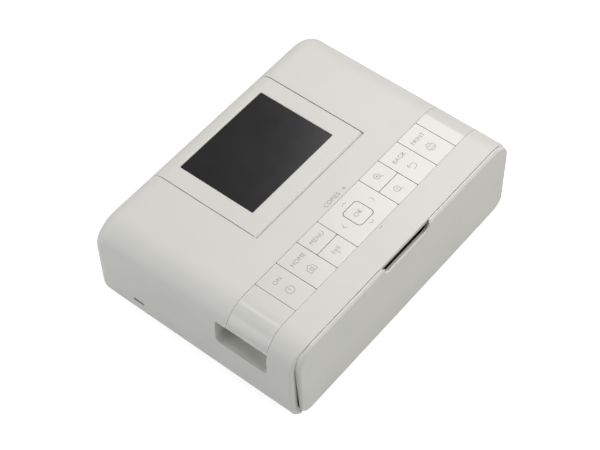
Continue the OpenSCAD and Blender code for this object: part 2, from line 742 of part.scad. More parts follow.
// Spur gear at p with teeth in mesh at the angle to the reduction gear
module gear(teeth, p, x0, w, bore, phase) {
    pr = pitch_r(teeth);
    root = pr - 1.25 * gear_m;
    tip = pr + 0.9 * gear_m;
    step = 360 / teeth;
    translate([x0, p[0], p[1]]) rotate([90, 0, 90]) difference() {
        linear_extrude(w) rotate(phase) polygon([for (i = [0 : teeth - 1], k = [0 : 3])
            let (a = i * step + [-0.29, -0.1, 0.1, 0.29][k] * step, r = [root, tip, tip, root][k])
            [r * cos(a), r * sin(a)]]);
        if (bore > 0) translate([0, 0, -1]) cylinder(h = w + 2, r = bore);
    }
}

// Phase of a gear at q that meshes with a gear at p of the given teeth and phase
function angle_to(p, q) = atan2(q[1] - p[1], q[0] - p[0]);
function mesh_phase(p, p_teeth, p_phase, q, q_teeth) = angle_to(p, q) + 180
    + (0.5 - (p_phase - angle_to(p, q)) * p_teeth / 360) * 360 / q_teeth;

function train_phase(q, teeth) = mesh_phase(reduction, reduction_teeth, 0, q, teeth);
feed_phase = train_phase(feed, platen_teeth);

stud_r = 1.5;
gear_bore = shaft_r + 0.02;
module platen_gear() color(gear_white) gear(platen_teeth, platen, lane_1 - gear_w, gear_w,
    gear_bore, train_phase(platen, platen_teeth));
module feed_gear() color(gear_white) gear(platen_teeth, feed, lane_1 - gear_w, gear_w,
    gear_bore, feed_phase);
module pickup_gear() color(gear_white) gear(pickup_teeth, pickup, lane_1 - gear_w, gear_w,
    gear_bore, mesh_phase(feed, platen_teeth, feed_phase, pickup, pickup_teeth));
module reduction_gear() color(gear_white) gear(reduction_teeth, reduction, lane_2 - gear_w,
    2 * gear_w + gear_lane, stud_r + run, 0);
module gear_stud() color(steel) {
    rod_x(lane_2 - gear_w - 0.5, -frame_out, reduction, stud_r);
    rod_x(lane_1 + 0.3, -frame_out, reduction, stud_r + 1.5);
}
// The take-up gear and the coupler that reaches into the ink spool
module takeup_gear() color(gear_white) {
    gear(takeup_teeth, takeup, lane_2 - gear_w, gear_w, 0, train_phase(takeup, takeup_teeth));
    rod_x(lane_2 - 1, -frame_x + 1.5, takeup, shaft_r);
    translate([-frame_x + 1.4, takeup[0], takeup[1]]) rotate([90, 0, 90])
        for (a = [0, 90]) rotate(a) translate([-2.2, -0.5, 0]) cube([4.4, 1, 2.6]);
}

motor_r = 10.8;
motor_l = 13;
motor_x = lane_2 - gear_w - 0.8 - frame_t;
module motor_bracket() color(steel) difference() {
    union() {
        along_x(motor_x, motor_x + frame_t) round_rect(motor[0] - 6, motor[1] - motor_r,
            motor[0] + motor_r + 2.5, motor[1] + motor_r, [2, 2, 2, 2]);
        for (z = [motor[1] - motor_r + 3, motor[1] + motor_r - 3])
            box([motor_x, motor[0] + motor_r + 1.3, z - 2],
                [-frame_out, motor[0] + motor_r + 2.5, z + 2]);
    }
    rod_x(motor_x - 1, motor_x + 2, motor, 3.2);
}
module feed_motor() color(steel) {
    rod_x(motor_x - motor_l, motor_x, motor, motor_r);
    rod_x(motor_x - 0.5, motor_x + frame_t + 0.4, motor, 3);
    rod_x(motor_x - motor_l - 1.2, motor_x - motor_l, motor, 3);
}
module motor_pinion() color([0.75, 0.62, 0.32]) difference() {
    union() {
        gear(pinion_teeth, motor, lane_2 - gear_w, gear_w, 0, train_phase(motor, pinion_teeth));
        rod_x(lane_2 - 0.5, lane_2 + 1, motor, 1.6);
    }
    rod_x(lane_2 - gear_w - 1, lane_2 - gear_w + 0.4, motor, 0.5);
}

// Thermal head, its arms and springs
head_front = platen[0] - 5;
head_back = platen[0] + 4.4;
spring_x = head_hw * 0.55;
spring_r = 3;
spring_turns = 5;
wire_r = 0.35;
spring_z0 = head_z + 5.2;
module thermal_head() color([0.86, 0.83, 0.76]) {
    box([-head_hw, head_front, head_z + 0.6], [head_hw, head_back, head_z + 2.6]);
    box([-head_hw + 1, platen[0] - 1, head_z], [head_hw - 1, platen[0] + 1, head_z + 0.7]);
}
module head_bracket() color([0.62, 0.63, 0.65]) difference() {
    union() {
        box([-head_hw, head_front - 1, head_z + 2.6], [head_hw, head_back + 1, head_z + 5]);
        for (i = [0 : 3])
            box([-head_hw + 6, head_front + i * 2.9, head_z + 4.9],
                [head_hw * 0.4, head_front + 0.8 + i * 2.9, head_z + 7]);
        for (s = [-1, 1]) {
            rod_x(s * (head_hw - 0.75) - 0.75, s * (head_hw - 0.75) + 0.75, head_axis, rod_r + 2);
            along_x(s * (head_hw - 0.75) - 0.75, s * (head_hw - 0.75) + 0.75) polygon([
                [head_front - 1, head_z + 2.6], [head_back + 1, head_z + 2.6],
                [head_axis[0] + 3, head_axis[1] - 2], [head_axis[0] - 3, head_axis[1] + 2]]);
        }
    }
    for (s = [-1, 1]) rod_x(s * head_hw - 4, s * head_hw + 4, head_axis, rod_r + run);
    for (s = [-1, 1]) translate([s * spring_x, platen[0], head_z + 4.8])
        cylinder(h = 6, r = spring_r + 0.8);
}
module head_pivot_rod() color(steel)
    rod_x(-frame_out - 1, frame_out + 1, head_axis, rod_r);

spring_z1 = bar_z - 0.3;
spring_steps = 12;
function spring_ring(t) = let (a = 360 * t, z = spring_z0 + wire_r
    + (spring_z1 - spring_z0 - 2 * wire_r) * t / spring_turns)
    [for (k = [0 : 5]) let (b = 60 * k) [(spring_r + wire_r * cos(b)) * cos(a),
        (spring_r + wire_r * cos(b)) * sin(a), z + wire_r * sin(b)]];
module spring() {
    n = spring_turns * spring_steps;
    points = [for (i = [0 : n]) each spring_ring(i / spring_steps)];
    faces = concat([[for (k = [0 : 5]) k]], [[for (k = [5 : -1 : 0]) n * 6 + k]],
        [for (i = [0 : n - 1], k = [0 : 5]) let (j = (k + 1) % 6)
            [i * 6 + k, (i + 1) * 6 + k, (i + 1) * 6 + j, i * 6 + j]]);
    polyhedron(points, faces);
}
module head_springs() color(steel)
    for (s = [-1, 1]) translate([s * spring_x, platen[0], 0]) spring();

// Ink cassette: two open tubes for the spools, joined by end plates
tube_wall = 1.1;
cassette_low = film_z + 1.2;
module cassette_plate(x0, x1) {
    difference() {
        union() {
            for (p = [takeup, supply]) rod_x(x0, x1, p, tube_r);
            box([x0, takeup[0], cassette_low], [x1, supply[0], cassette_low + 3.6]);
        }
        for (p = [takeup, supply]) rod_x(x0 - 1, x1 + 1, p, spool_core_r - 0.6 + run);
    }
}
module ink_cassette() color([0.20, 0.21, 0.23]) {
    for (p = [takeup, supply]) difference() {
        rod_x(-cassette_hw, cassette_hw, p, tube_r);
        rod_x(-cassette_hw - 1, cassette_hw + 1, p, tube_r - tube_wall);
        // Mouth that the ribbon leaves through
        if (p == takeup) box([-cassette_hw + 2, p[0] + 5, p[1] - 4.5],
            [cassette_hw - 2, p[0] + tube_r + 1, p[1] + 4.5]);
        else box([-cassette_hw + 2, p[0] - 9.5, p[1] - tube_r - 1],
            [cassette_hw - 2, p[0] - 1, p[1] - 4]);
    }
    cassette_plate(-cassette_hw, -cassette_hw + 1.6);
    cassette_plate(cassette_hw - 1.6, cassette_hw);
    // Grip behind the ink door
    box([cassette_hw - 0.1, takeup[0] + tube_r + 2, cassette_low],
        [half_w - wall - 6, supply[0] - tube_r - 2, cassette_low + 1.6]);
    box([half_w - wall - 8, takeup[0] + tube_r + 2, cassette_low],
        [half_w - wall - 6, supply[0] - tube_r - 2, cassette_low + 12]);
}
spool_hw = cassette_hw - 2;
module spool(p, r) {
    difference() {
        union() {
            rod_x(-spool_hw, spool_hw, p, spool_core_r);
            rod_x(-cassette_hw - 0.2, cassette_hw + 0.2, p, spool_core_r - 0.6);
            rod_x(-spool_hw + 3, spool_hw - 3, p, r);
        }
        rod_x(-cassette_hw - 1, -cassette_hw + 4.4, p, 2.8);
    }
}
module supply_spool() color([0.16, 0.16, 0.20]) spool(supply, roll_r);
module takeup_spool() color([0.16, 0.16, 0.20]) spool(takeup, takeup_roll_r);

// Stretch of ribbon between the spools, under the head
module ink_ribbon() color([0.30, 0.12, 0.30]) {
    t = 0.2;
    x = head_hw - 1.5;
    a = takeup + (takeup_roll_r + 0.4) * [cos(60), sin(60)];
    b = [head_front - 1.8, film_z];
    c = [platen[0] + 6.5, film_z];
    d = supply + (roll_r + 0.4) * [cos(-82), sin(-82)];
    along_x(-x, x) polygon([a, b, c, d, d + [0, t], c + [0, t], b + [0.1, t], a + [0.1, t]]);
}

module ink_door() color(shell_white) difference() {
    union() {
        intersection() {
            difference() {
                body_form(0, rim_y, 0);
                body_form(wall, rim_y - 1, 0);
            }
            box([half_w - wall - 4, door_y + door_gap, door_z + door_gap],
                [half_w, door_back - wall / 2 - door_gap, door_z + door_h - door_gap]);
        }
        box([half_w - wall, door_back - wall / 2 - door_gap - 0.1, door_z + door_gap],
            [half_w, door_back, knuckle_z - door_gap]);
        translate([door_axis[0], door_axis[1], door_z + door_gap])
            cylinder(h = knuckle_z - door_z - 2 * door_gap, r = wall / 2);
        // Snap tongue and stiffening ribs on the inside
        box([half_w - wall - 1.6, door_y + 3, door_z + 4], [half_w - wall + 0.1, door_y + 4.6,
            door_z + door_h - 10]);
        for (z = [door_z + 3, door_z + door_h - 10])
            box([half_w - wall - 1.4, door_y + 4, z], [half_w - wall + 0.1, door_back - 6, z + 1.2]);
    }
    translate([door_axis[0], door_axis[1], door_z - 1])
        cylinder(h = door_h, r = door_pin_r + 0.04);
}
module ink_door_pin() color(steel) translate([door_axis[0], door_axis[1], door_z - 2.5])
    cylinder(h = knuckle_z - door_z + 5.5, r = door_pin_r);

// Lever that holds the ink cassette in
lever = [takeup[0] - 1, film_z - 3.5];
lever_x = frame_out + 3;
lever_stud_r = 1.5;
module lock_lever() color([0.35, 0.52, 0.68]) difference() {
    union() {
        rod_x(lever_x, lever_x + 2, lever, 3);
        along_x(lever_x, lever_x + 2) polygon([lever + [-2.4, 0], lever + [2.4, 0],
            lever + [2, 13], lever + [-1, 13]]);
        box([lever_x, lever[0] - 1, lever[1] + 11.5], [lever_x + 7, lever[0] + 2, lever[1] + 13]);
    }
    rod_x(lever_x - 1, lever_x + 3, lever, lever_stud_r + run);
}

// Main board with its chips on posts over the paper tunnel
board_y0 = panel_plate_y + 4;
board_y1 = takeup[0] - tube_r - 2;
module main_board() color(board_green) difference() {
    union() {
        box([-tunnel_hw, board_y0, board_z], [tunnel_hw, board_y1, board_z + 1.6]);
        for (c = [[-30, 8, 12], [-6, 10, 14], [20, 8, 8], [38, 6, 10]])
            translate([c[0], board_y0 + c[1], board_z + 1.5]) cube([c[2], c[2], 1.5]);
        for (x = [-44, -36, 50]) translate([x, board_y0 + 24, board_z + 1.5])
            cylinder(h = 7, r = 3);
        for (x = [-tunnel_hw + 4, tunnel_hw - 4], y = [board_y0 + 4, board_y1 - 4])
            translate([x, y, tunnel_top + 1.5]) cylinder(h = board_z - tunnel_top - 1, r = 2.5);
    }
    for (x = [-tunnel_hw + 4, tunnel_hw - 4], y = [board_y0 + 4, board_y1 - 4])
        translate([x, y, 0]) cylinder(h = body_h, r = 1.1);
}

// Memory card slot over a flash drive port, on one small board
module io_sockets() {
    color(steel) difference() {
        box([recess_x + 0.2, card_y + 0.2, card_z + 0.2],
            [recess_x + 24, card_y + card_w - 0.2, card_z + card_h - 0.1]);
        box([recess_x - 1, card_y + 0.7, card_z + 0.6],
            [recess_x + 20, card_y + card_w - 0.7, card_z + card_h - 0.5]);
    }
    color(steel) difference() {
        box([recess_x + 0.2, usb_y + 0.2, usb_z + 0.2],
            [recess_x + 14, usb_y + usb_w - 0.2, usb_z + usb_h - 0.2]);
        box([recess_x - 1, usb_y + 0.6, usb_z + 0.6],
            [recess_x + 12, usb_y + usb_w - 0.6, usb_z + usb_h - 0.6]);
    }
    color(board_green) box([recess_x + 2.4, card_y + 0.2, usb_z + usb_h - 0.2],
        [recess_x + 24, card_y + card_w - 0.2, card_z + 0.2]);
    color([0.9, 0.9, 0.9]) box([recess_x + 1, usb_y + 1, usb_z + 3.2],
        [recess_x + 12.1, usb_y + usb_w - 1, usb_z + 4.6]);
}

module dc_socket() color(rubber_black) translate([dc_x, back_y - wall / 2 - 0.6, dc_z])
    rotate([90, 0, 0]) {
    difference() {
        union() {
            cylinder(h = 11, r = 4);
            translate([-5, -5, wall]) cube([10, 10, 9.2]);
        }
        translate([0, 0, -1]) cylinder(h = 9.5, r = 2.8);
    }
    translate([0, 0, 1]) cylinder(h = 8, r = 0.8);
}

battery_play = 0.3;
module battery_cover() color(shell_white) {
    box([battery_x - battery_hw + battery_play, back_y - wall + 0.3, battery_z0 + battery_play],
        [battery_x + battery_hw - battery_play, back_y, battery_z1 - battery_play]);
    for (s = [-1, 1]) box([battery_x + s * (battery_hw - 4) - 1.5, back_y - wall - 2.6,
        battery_z0 + 3], [battery_x + s * (battery_hw - 4) + 1.5, back_y - wall + 0.4,
        battery_z1 - 3]);
}
module battery_terminals() color(inner_grey) {
    difference() {
        box([battery_x - battery_hw + 7, back_y - 15, floor_z], [battery_x + battery_hw - 7,
            back_y - wall - 3, battery_z1 - 2]);
        for (i = [-2 : 2]) box([battery_x + i * 3.6 - 0.9, back_y - 12, battery_z0 + 1],
            [battery_x + i * 3.6 + 0.9, back_y, battery_z1 - 4]);
    }
}

// Pieces
top_cover();
bottom_case();
front_cover();
inner_front_panel();
key_frame();
power_key();
home_key();
menu_key();
wireless_key();
nav_pad();
nav_key();
ok_key();
zoom_in_key();
zoom_out_key();
back_key();
print_key();
key_mat();
key_board();
screen_frame();
screen_back();
display_glass();
display_module();
screen_hinge_pins();
rubber_feet();
case_screws();
left_frame();
right_frame();
cross_bar();
paper_tunnel();
pickup_roller();
pickup_gear();
feed_roller();
feed_gear();
pinch_roller();
pinch_bracket();
platen_roller();
platen_gear();
roller_bushes();
reduction_gear();
gear_stud();
takeup_gear();
motor_bracket();
feed_motor();
motor_pinion();
head_pivot_rod();
head_bracket();
thermal_head();
head_springs();
ink_cassette();
supply_spool();
takeup_spool();
ink_ribbon();
ink_door();
ink_door_pin();
lock_lever();
main_board();
io_sockets();
dc_socket();
battery_cover();
battery_terminals();
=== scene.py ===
"""Looks of a compact photo printer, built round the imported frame.

Sizes in the code are in millimetres, unless a comment says otherwise. Meshes and the scene are
in metres.
"""

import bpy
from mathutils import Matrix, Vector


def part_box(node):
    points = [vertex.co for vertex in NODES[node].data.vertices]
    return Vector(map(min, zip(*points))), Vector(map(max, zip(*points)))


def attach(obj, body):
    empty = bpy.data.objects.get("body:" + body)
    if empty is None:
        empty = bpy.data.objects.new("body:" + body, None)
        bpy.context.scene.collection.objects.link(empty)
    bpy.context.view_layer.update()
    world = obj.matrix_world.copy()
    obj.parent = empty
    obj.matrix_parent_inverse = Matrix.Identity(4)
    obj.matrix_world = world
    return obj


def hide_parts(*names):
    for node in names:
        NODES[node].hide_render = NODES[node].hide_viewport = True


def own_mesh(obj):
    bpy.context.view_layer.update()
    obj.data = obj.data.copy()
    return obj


bl_info = {
    "name": "Compact photo printer",
    "version": (1, 0, 0),
    "blender": (4, 5, 0),
    "location": "View3D > Sidebar > Printer",
    "description": "Builds the housing, covers, display, keys, inside pieces and stage "
                   "of a photo printer",
    "category": "Object",
}
import math

import bmesh
import bpy
from bpy.props import FloatProperty, FloatVectorProperty, PointerProperty
from mathutils import Matrix, Vector

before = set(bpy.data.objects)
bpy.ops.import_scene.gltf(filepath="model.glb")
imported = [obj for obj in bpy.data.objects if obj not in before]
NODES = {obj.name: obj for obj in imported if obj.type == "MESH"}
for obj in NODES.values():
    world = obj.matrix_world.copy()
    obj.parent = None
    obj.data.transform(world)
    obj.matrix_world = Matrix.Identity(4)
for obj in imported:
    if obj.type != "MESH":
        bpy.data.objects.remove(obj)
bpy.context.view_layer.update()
MM = 0.001


def node_box(name):
    """Lowest and highest corner of a CAD node, in millimetres."""
    low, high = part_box(name)
    return [c / MM for c in low], [c / MM for c in high]


# Places that the pieces share, in millimetres. The front faces -Y, and the top faces +Z.

COVER_LOW, COVER_HIGH = node_box("front_cover")
SHELL_LOW, SHELL_HIGH = node_box("top_cover")
PANEL_LOW, PANEL_HIGH = node_box("screen_frame")
GLASS_LOW, GLASS_HIGH = node_box("display_glass")
DOOR_LOW, DOOR_HIGH = node_box("ink_door")
PIN_HIGH = node_box("ink_door_pin")[1]
BATTERY_LOW, BATTERY_HIGH = node_box("battery_cover")
NAV_LOW, NAV_HIGH = node_box("nav_key")

HALF_W, BACK_Y, TOP_Z = SHELL_HIGH
RIM_Y, PARTING_Z = SHELL_LOW[1:]
FRONT_Y = COVER_LOW[1]
CASE_Z = node_box("bottom_case")[0][2]
SKIN = 0.04                     # the looks stay this far inside the faces of the CAD
PAST = 5                        # a cutter reaches this far past the face that it opens
THROUGH = 4                     # and this far in, to open one wall
DEEP = 8                        # and this far in, to open a wall and what lies on it

# Front rim of the housing, and the ledge behind the front cover's edge
LIP_BACK = 1.0                  # the rim stands this far back at the sides
LIP_IN = 2.0                    # and is turned in by this much
LEDGE = RIM_Y + LIP_BACK + 0.2
LEDGE_T = 1.2                   # thickness of the ledge
LEDGE_OUT, LEDGE_IN = 1.7, 4.4  # where it starts and ends, in from the outline
LEDGE_SIDE = 17                 # how far the upper ledge reaches in from the sides

# Well of the display
WELL_GAP = 0.5
WELL_WALL = 1.8
WELL_FLOOR = PANEL_LOW[2] - WELL_GAP

# Key strip, and what is printed on it
STRIP_LOW = node_box("key_frame")[0][2]
STRIP_Y, STRIP_BACK = NAV_LOW[1], NAV_HIGH[1]
STRIP_MID = (STRIP_Y + STRIP_BACK) / 2
STRIP_EDGE = 0.15
KEY_Z = node_box("power_key")[1][2]
CAP_T, STEM_R = 2.3, 1.8        # thickness of a key's cap and radius of its stem
OK_GAP = 0.3                    # round the square key in the navigation key
PRINT_Z = TOP_Z - SKIN + 0.004
PRINT_T = 0.02

# Openings in the left side, as the lowest and highest y and z
RECESS = (RIM_Y + 16.35, 36.0, RIM_Y + 49.55, STRIP_LOW - 0.2)
RECESS_X = -HALF_W + 9          # back wall of the recess
RECESS_WALL, RECESS_R = 1.5, 3  # thickness of its walls, and radius of its lower corners
CARD_SLOT = (RECESS[0] + 0.5, 45, RECESS[0] + 24.9, 48)
DRIVE_PORT = (RECESS[0] + 6, 37.6, RECESS[0] + 19.2, 43.4)
LOCK_SLOT = (BACK_Y - 33.9, 21, BACK_Y - 26.6, 23.2)

# Openings in the back, as the lowest and highest x and z
PAPER_SLOT = (-54.0, 26.0, 54.0, 33.0)
BATTERY = (BATTERY_LOW[0], BATTERY_LOW[2], BATTERY_HIGH[0], BATTERY_HIGH[2])
BATTERY_MID = (BATTERY_LOW[0] + BATTERY_HIGH[0]) / 2
BATTERY_GAP = 0.3
GROOVES = (13.6, 15.6, 17.6)    # heights of the grip grooves in the battery cover
VENTS = [(x, 39, x + 1.6, 48) for x in (-HALF_W + 27 + 4 * i for i in range(9))]
INLET, INLET_R = (-HALF_W + 34, CASE_Z + 14), 4.2

# Ink door: its pin in x and y, the pin's radius, and where the housing's knuckle starts
DOOR_PIVOT, DOOR_PIN = (HALF_W - 1.1, PIN_HIGH[1] - 0.5), 0.54
KNUCKLE = PIN_HIGH[2] - 3
DOOR_GAP = 0.3                  # round the door, and at its knuckle

# Front cover: its pin in y and z, its lower edge, its arms and the housing's ears in x
COVER_PIVOT = (RIM_Y + 3.5, 8.0)
COVER_LINE = 9.7
ARM_X = COVER_HIGH[0] - 19.2
EAR_X = ARM_X + 5.6
LIP_X = HALF_W - 7
ARM_T, ARM_R, EAR_T, EAR_R = 1.5, 3.2, 2, 3.5   # half the thickness and radius of each
COVER_PIN, COVER_BORE = 2, 2.05
FLOOR_RIB = 57.5                # half the length of the rib behind the cover's foot
NOTCH_X = -1                    # the finger notch sits a little left of the middle
NOTCH_CORNER = 4.6
NOTCH_SOFT = 0.9                # rounding round the notch
NOTCH_LIP = 1.0                 # thickness that is left behind the notch
NOTCH_BACK = -60                # its cutter ends here, behind the cover

# Feet and screw posts
FOOT_X, FOOT_HOLE = HALF_W - 18.5, 6.1
FOOT_Y = (FRONT_Y + 18, BACK_Y - 18)
POST_X, POST_HOLE = HALF_W - 10.5, 2.8
POST_Y = (RIM_Y + 9.5, BACK_Y - 6.5)


# Sizes and colours that a user would change

def colour(name, text, value):
    """A colour that a user can change, as linear red, green and blue."""
    return FloatVectorProperty(name=name, description=text, subtype="COLOR", size=3,
                               min=0, max=1, default=value)


def length(name, text, value, low, high):
    """A length that a user can change, given here in millimetres."""
    return FloatProperty(name=name, description=text, unit="LENGTH", default=value * MM,
                         min=low * MM, max=high * MM, precision=5)


class HousingSizes(bpy.types.PropertyGroup):
    """Sizes of the housing"""
    wall: length("Wall", "Wall of the housing", 2.2, 1.5, 3)
    shoulder: length("Shoulder", "Radius where the top meets the sides", 17, 10, 20)
    belly: length("Belly", "Radius of the lower side edges", 16, 8, 18)
    back_top: length("Back top", "Radius of the back's top edge", 11, 8, 16)
    back_side: length("Back corner", "Radius of the back's upright corners", 7.5, 4, 11)
    back_low: length("Back foot", "Radius of the back's lower edge", 4, 1, 6)
    bend: length("Front bend", "Radius of the bend beside the front cover", 1.3, 0.6, 2)
    edge: length("Seam edge", "Rounding of the edges at the seams", 0.25, 0.05, 0.5)


class CoverSizes(bpy.types.PropertyGroup):
    """Sizes of the front cover"""
    corner: length("Corner", "Radius of the cover's top corners", 13, 8, 16)
    low_corner: length("Low corner", "Radius of the cover's lower corners", 8, 4, 12)
    edge: length("Edge", "Rounding round the face", 2, 0.8, 3)
    side_edge: length("Side edge", "Reach of the rounding at the sides", 1.2, 0.6, 3)
    notch_w: length("Notch", "Width of the finger notch", 37, 25, 45)
    notch_d: length("Notch depth", "Depth of the finger notch", 5.1, 3, 6)


class DisplaySizes(bpy.types.PropertyGroup):
    """Sizes of the display panel and its window"""
    nose: length("Nose", "Radius of the panel's front edge", 2.8, 1, 4)
    wall: length("Wall", "Wall of the panel", 1.8, 1, 3)
    edge: length("Edge", "Rounding of the panel's side edges", 0.35, 0.1, 1)
    glass_edge: length("Glass edge", "Bevel of the window", 0.3, 0.05, 0.5)


class KeySizes(bpy.types.PropertyGroup):
    """Sizes of the keys and of what is printed on them"""
    edge: length("Edge", "Rounding of a key's edges", 0.18, 0.05, 0.4)
    corner: length("Corner", "Radius of a key's corners", 0.5, 0.1, 1)
    word_h: length("Words", "Height of the words on the keys", 2.5, 1, 4)
    line_w: length("Lines", "Width of the lines in the symbols", 0.28, 0.1, 0.6)


class Finish(bpy.types.PropertyGroup):
    """Colours of the finishes"""
    shell: colour("Housing", "Colour of the housing's plastic", (0.745, 0.730, 0.690))
    keys: colour("Keys", "Colour of the glossier key strip", (0.728, 0.716, 0.672))
    print_grey: colour("Print", "Colour of the printed words and symbols", (0.300, 0.295, 0.270))
    inner: colour("Inside", "Colour of the inner mouldings", (0.170, 0.175, 0.175))
    glass: colour("Glass", "Colour behind the display window", (0.004, 0.004, 0.005))
    floor: colour("Floor", "Colour of the floor", (0.800, 0.805, 0.800))


GROUPS = (("printer_housing", HousingSizes), ("printer_cover", CoverSizes),
          ("printer_display", DisplaySizes), ("printer_keys", KeySizes),
          ("printer_finish", Finish))


def sizes(group):
    """A property group of the scene, by its short name."""
    return getattr(bpy.context.scene, "printer_" + group)


def mm(group, name):
    """One of a group's lengths, in millimetres."""
    return getattr(sizes(group), name) / MM


# Finishes

MIX_A, MIX_B, MIX_OUT = 6, 7, 2     # a colour mix node's own numbers for its colour sockets


class Nodes:
    """A node tree that is filled in step by step."""

    def __init__(self, tree):
        self.tree = tree

    def add(self, kind, links=(), **values):
        """Adds a node with its settings and values, and links its inputs."""
        node = self.tree.nodes.new(kind)
        for key, value in values.items():
            if hasattr(node, key):
                setattr(node, key, value)
            else:
                node.inputs[key.replace("_", " ")].default_value = value
        for socket, source in dict(links).items():
            self.tree.links.new(source, node.inputs[socket])
        return node


class Shader(Nodes):
    """The nodes of a material with a principled shader."""

    def __init__(self, name, base, rough, metal=0.0, coat=0.0, **plain):
        self.material = bpy.data.materials.new(name)
        self.material.use_nodes = True
        super().__init__(self.material.node_tree)
        self.out = self.tree.nodes["Principled BSDF"]
        self.put("Base Color", (*base, 1))
        self.put("Roughness", rough)
        self.put("Metallic", metal)
        self.put("Coat Weight", coat)
        for socket, value in plain.items():
            self.put(socket.replace("_", " "), value)
        self.place = self.add("ShaderNodeTexCoord").outputs["Object"]
        self.base, self.rough = base, rough
        self.height = None

    def put(self, socket, value):
        """Sets a value on the shader itself."""
        self.out.inputs[socket].default_value = value

    def link(self, source, socket):
        """Links a source to the shader itself."""
        self.tree.links.new(source, self.out.inputs[socket])

    def noise(self, scale, detail=2.0, stretch=None):
        """Noise on the object's own coordinates, stretched along its axes if asked."""
        place = self.place
        if stretch:
            place = self.add("ShaderNodeMapping", {"Vector": place}, Scale=stretch).outputs[0]
        return self.add("ShaderNodeTexNoise", {"Vector": place}, Scale=scale,
                        Detail=detail).outputs["Fac"]

    def spread(self, source, low, high):
        """Maps the middle of a noise to low and high."""
        return self.add("ShaderNodeMapRange", {"Value": source}, From_Min=0.3, From_Max=0.7,
                        To_Min=low, To_Max=high).outputs[0]

    def between(self, factor, *shares):
        """Makes the base colour go from one share of itself to another."""
        mix = self.add("ShaderNodeMix", data_type="RGBA")
        for socket, share in zip((MIX_A, MIX_B), shares):
            mix.inputs[socket].default_value = (*[min(1, c * share) for c in self.base], 1)
        self.tree.links.new(factor, mix.inputs[0])
        self.link(mix.outputs[MIX_OUT], "Base Color")

    def shade(self, source, amount):
        """Varies the base colour by a share of itself."""
        self.between(self.spread(source, 0, 1), 1 - amount, 1 + amount)

    def gloss(self, source, amount):
        """Varies the roughness up and down by an amount."""
        self.link(self.spread(source, self.rough - amount, self.rough + amount), "Roughness")

    def bump(self, source, depth, strength=1.0):
        """Adds relief of a depth in millimetres on top of what is there."""
        node = self.add("ShaderNodeBump", {"Height": source}, Strength=strength,
                        Distance=depth * MM)
        if self.height:
            self.tree.links.new(self.height, node.inputs["Normal"])
        self.height = node.outputs[0]
        self.link(self.height, "Normal")


def plastic(name, base, rough, grain=0.012, grain_scale=2600, cloud=0.012, uneven=0.03, **plain):
    """Moulded plastic: faint clouding, a fine spark-eroded grain and uneven gloss."""
    s = Shader(name, base, rough, **plain)
    s.shade(s.noise(scale=38), amount=cloud)
    s.gloss(s.noise(scale=160, detail=3), amount=uneven)
    s.bump(s.noise(scale=grain_scale, detail=3), depth=grain)
    s.bump(s.noise(scale=24), depth=0.02, strength=0.35)
    return s.material


def metal(name, base, rough, brush=(1, 1, 40), scale=220):
    """Metal with fine brushed lines, which brush stretches along the axes."""
    s = Shader(name, base, rough, metal=1.0)
    lines = s.noise(scale, detail=4, stretch=brush)
    s.shade(s.noise(scale=60), amount=0.08)
    s.gloss(lines, amount=0.09)
    s.bump(lines, depth=0.01, strength=0.6)
    return s.material


def rubber(name, base, rough=0.78):
    """Dull black rubber with a fine dusty grain."""
    s = Shader(name, base, rough, Specular_IOR_Level=0.35)
    s.shade(s.noise(scale=300, detail=4), amount=0.25)
    s.gloss(s.noise(scale=500, detail=4), amount=0.08)
    s.bump(s.noise(scale=1800, detail=4), depth=0.03)
    return s.material


def board(name, base):
    """Solder mask with faint copper tracks under it."""
    s = Shader(name, base, 0.38, coat=0.3)
    tracks = s.add("ShaderNodeTexBrick", {"Vector": s.place}, Scale=240,
                   Mortar_Size=0.06).outputs["Fac"]
    s.between(tracks, 0.8, 1.7)
    s.bump(tracks, depth=0.02)
    return s.material


def film(name, base):
    """Thin glossy ink film, wound tight, with faint waves across it."""
    s = Shader(name, base, 0.16, coat=0.6)
    s.shade(s.noise(scale=90, stretch=(1, 12, 12)), amount=0.25)
    s.bump(s.noise(scale=70, stretch=(1, 8, 8)), depth=0.05, strength=0.5)
    return s.material


def window(name, base):
    """Dark display window: a smooth coated face with a faint cloud of grey behind it."""
    s = Shader(name, base, 0.2, Specular_IOR_Level=0.26)
    s.shade(s.noise(scale=14), amount=0.18)
    s.gloss(s.noise(scale=90, detail=3), amount=0.02)
    s.bump(s.noise(scale=9), depth=0.02, strength=0.2)
    return s.material


MATERIALS = {}


def make_materials():
    """Makes every finish, with the colours of the scene's finish group."""
    f = sizes("finish")
    MATERIALS.update(
        shell=plastic("shell_plastic", list(f.shell), 0.42, Specular_IOR_Level=0.36),
        key=plastic("key_plastic", list(f.keys), 0.20, grain=0.003, cloud=0.006, uneven=0.012),
        inner=plastic("inner_plastic", list(f.inner), 0.5, grain=0.03),
        printed=plastic("printed_ink", list(f.print_grey), 0.5, grain=0.004, cloud=0.05),
        glass=window("display_window", list(f.glass)),
        cassette=plastic("cassette_plastic", [0.035, 0.038, 0.045], 0.42, grain=0.03),
        lever_blue=plastic("lever_plastic", [0.10, 0.24, 0.42], 0.4),
        gear=plastic("gear_acetal", [0.78, 0.78, 0.72], 0.36, cloud=0.03),
        film=film("ink_film", [0.07, 0.014, 0.07]),
        ceramic=plastic("head_ceramic", [0.71, 0.65, 0.54], 0.3),
        board=board("board_mask", [0.012, 0.085, 0.03]),
        steel=metal("zinc_steel", [0.60, 0.61, 0.62], 0.34),
        alloy=metal("head_alloy", [0.50, 0.51, 0.53], 0.42, (40, 1, 1)),
        brass=metal("pinion_brass", [0.62, 0.44, 0.14], 0.3),
        rubber=rubber("black_rubber", [0.016, 0.016, 0.018]),
        contact=metal("contact_gold", [0.83, 0.60, 0.24], 0.25),
    )


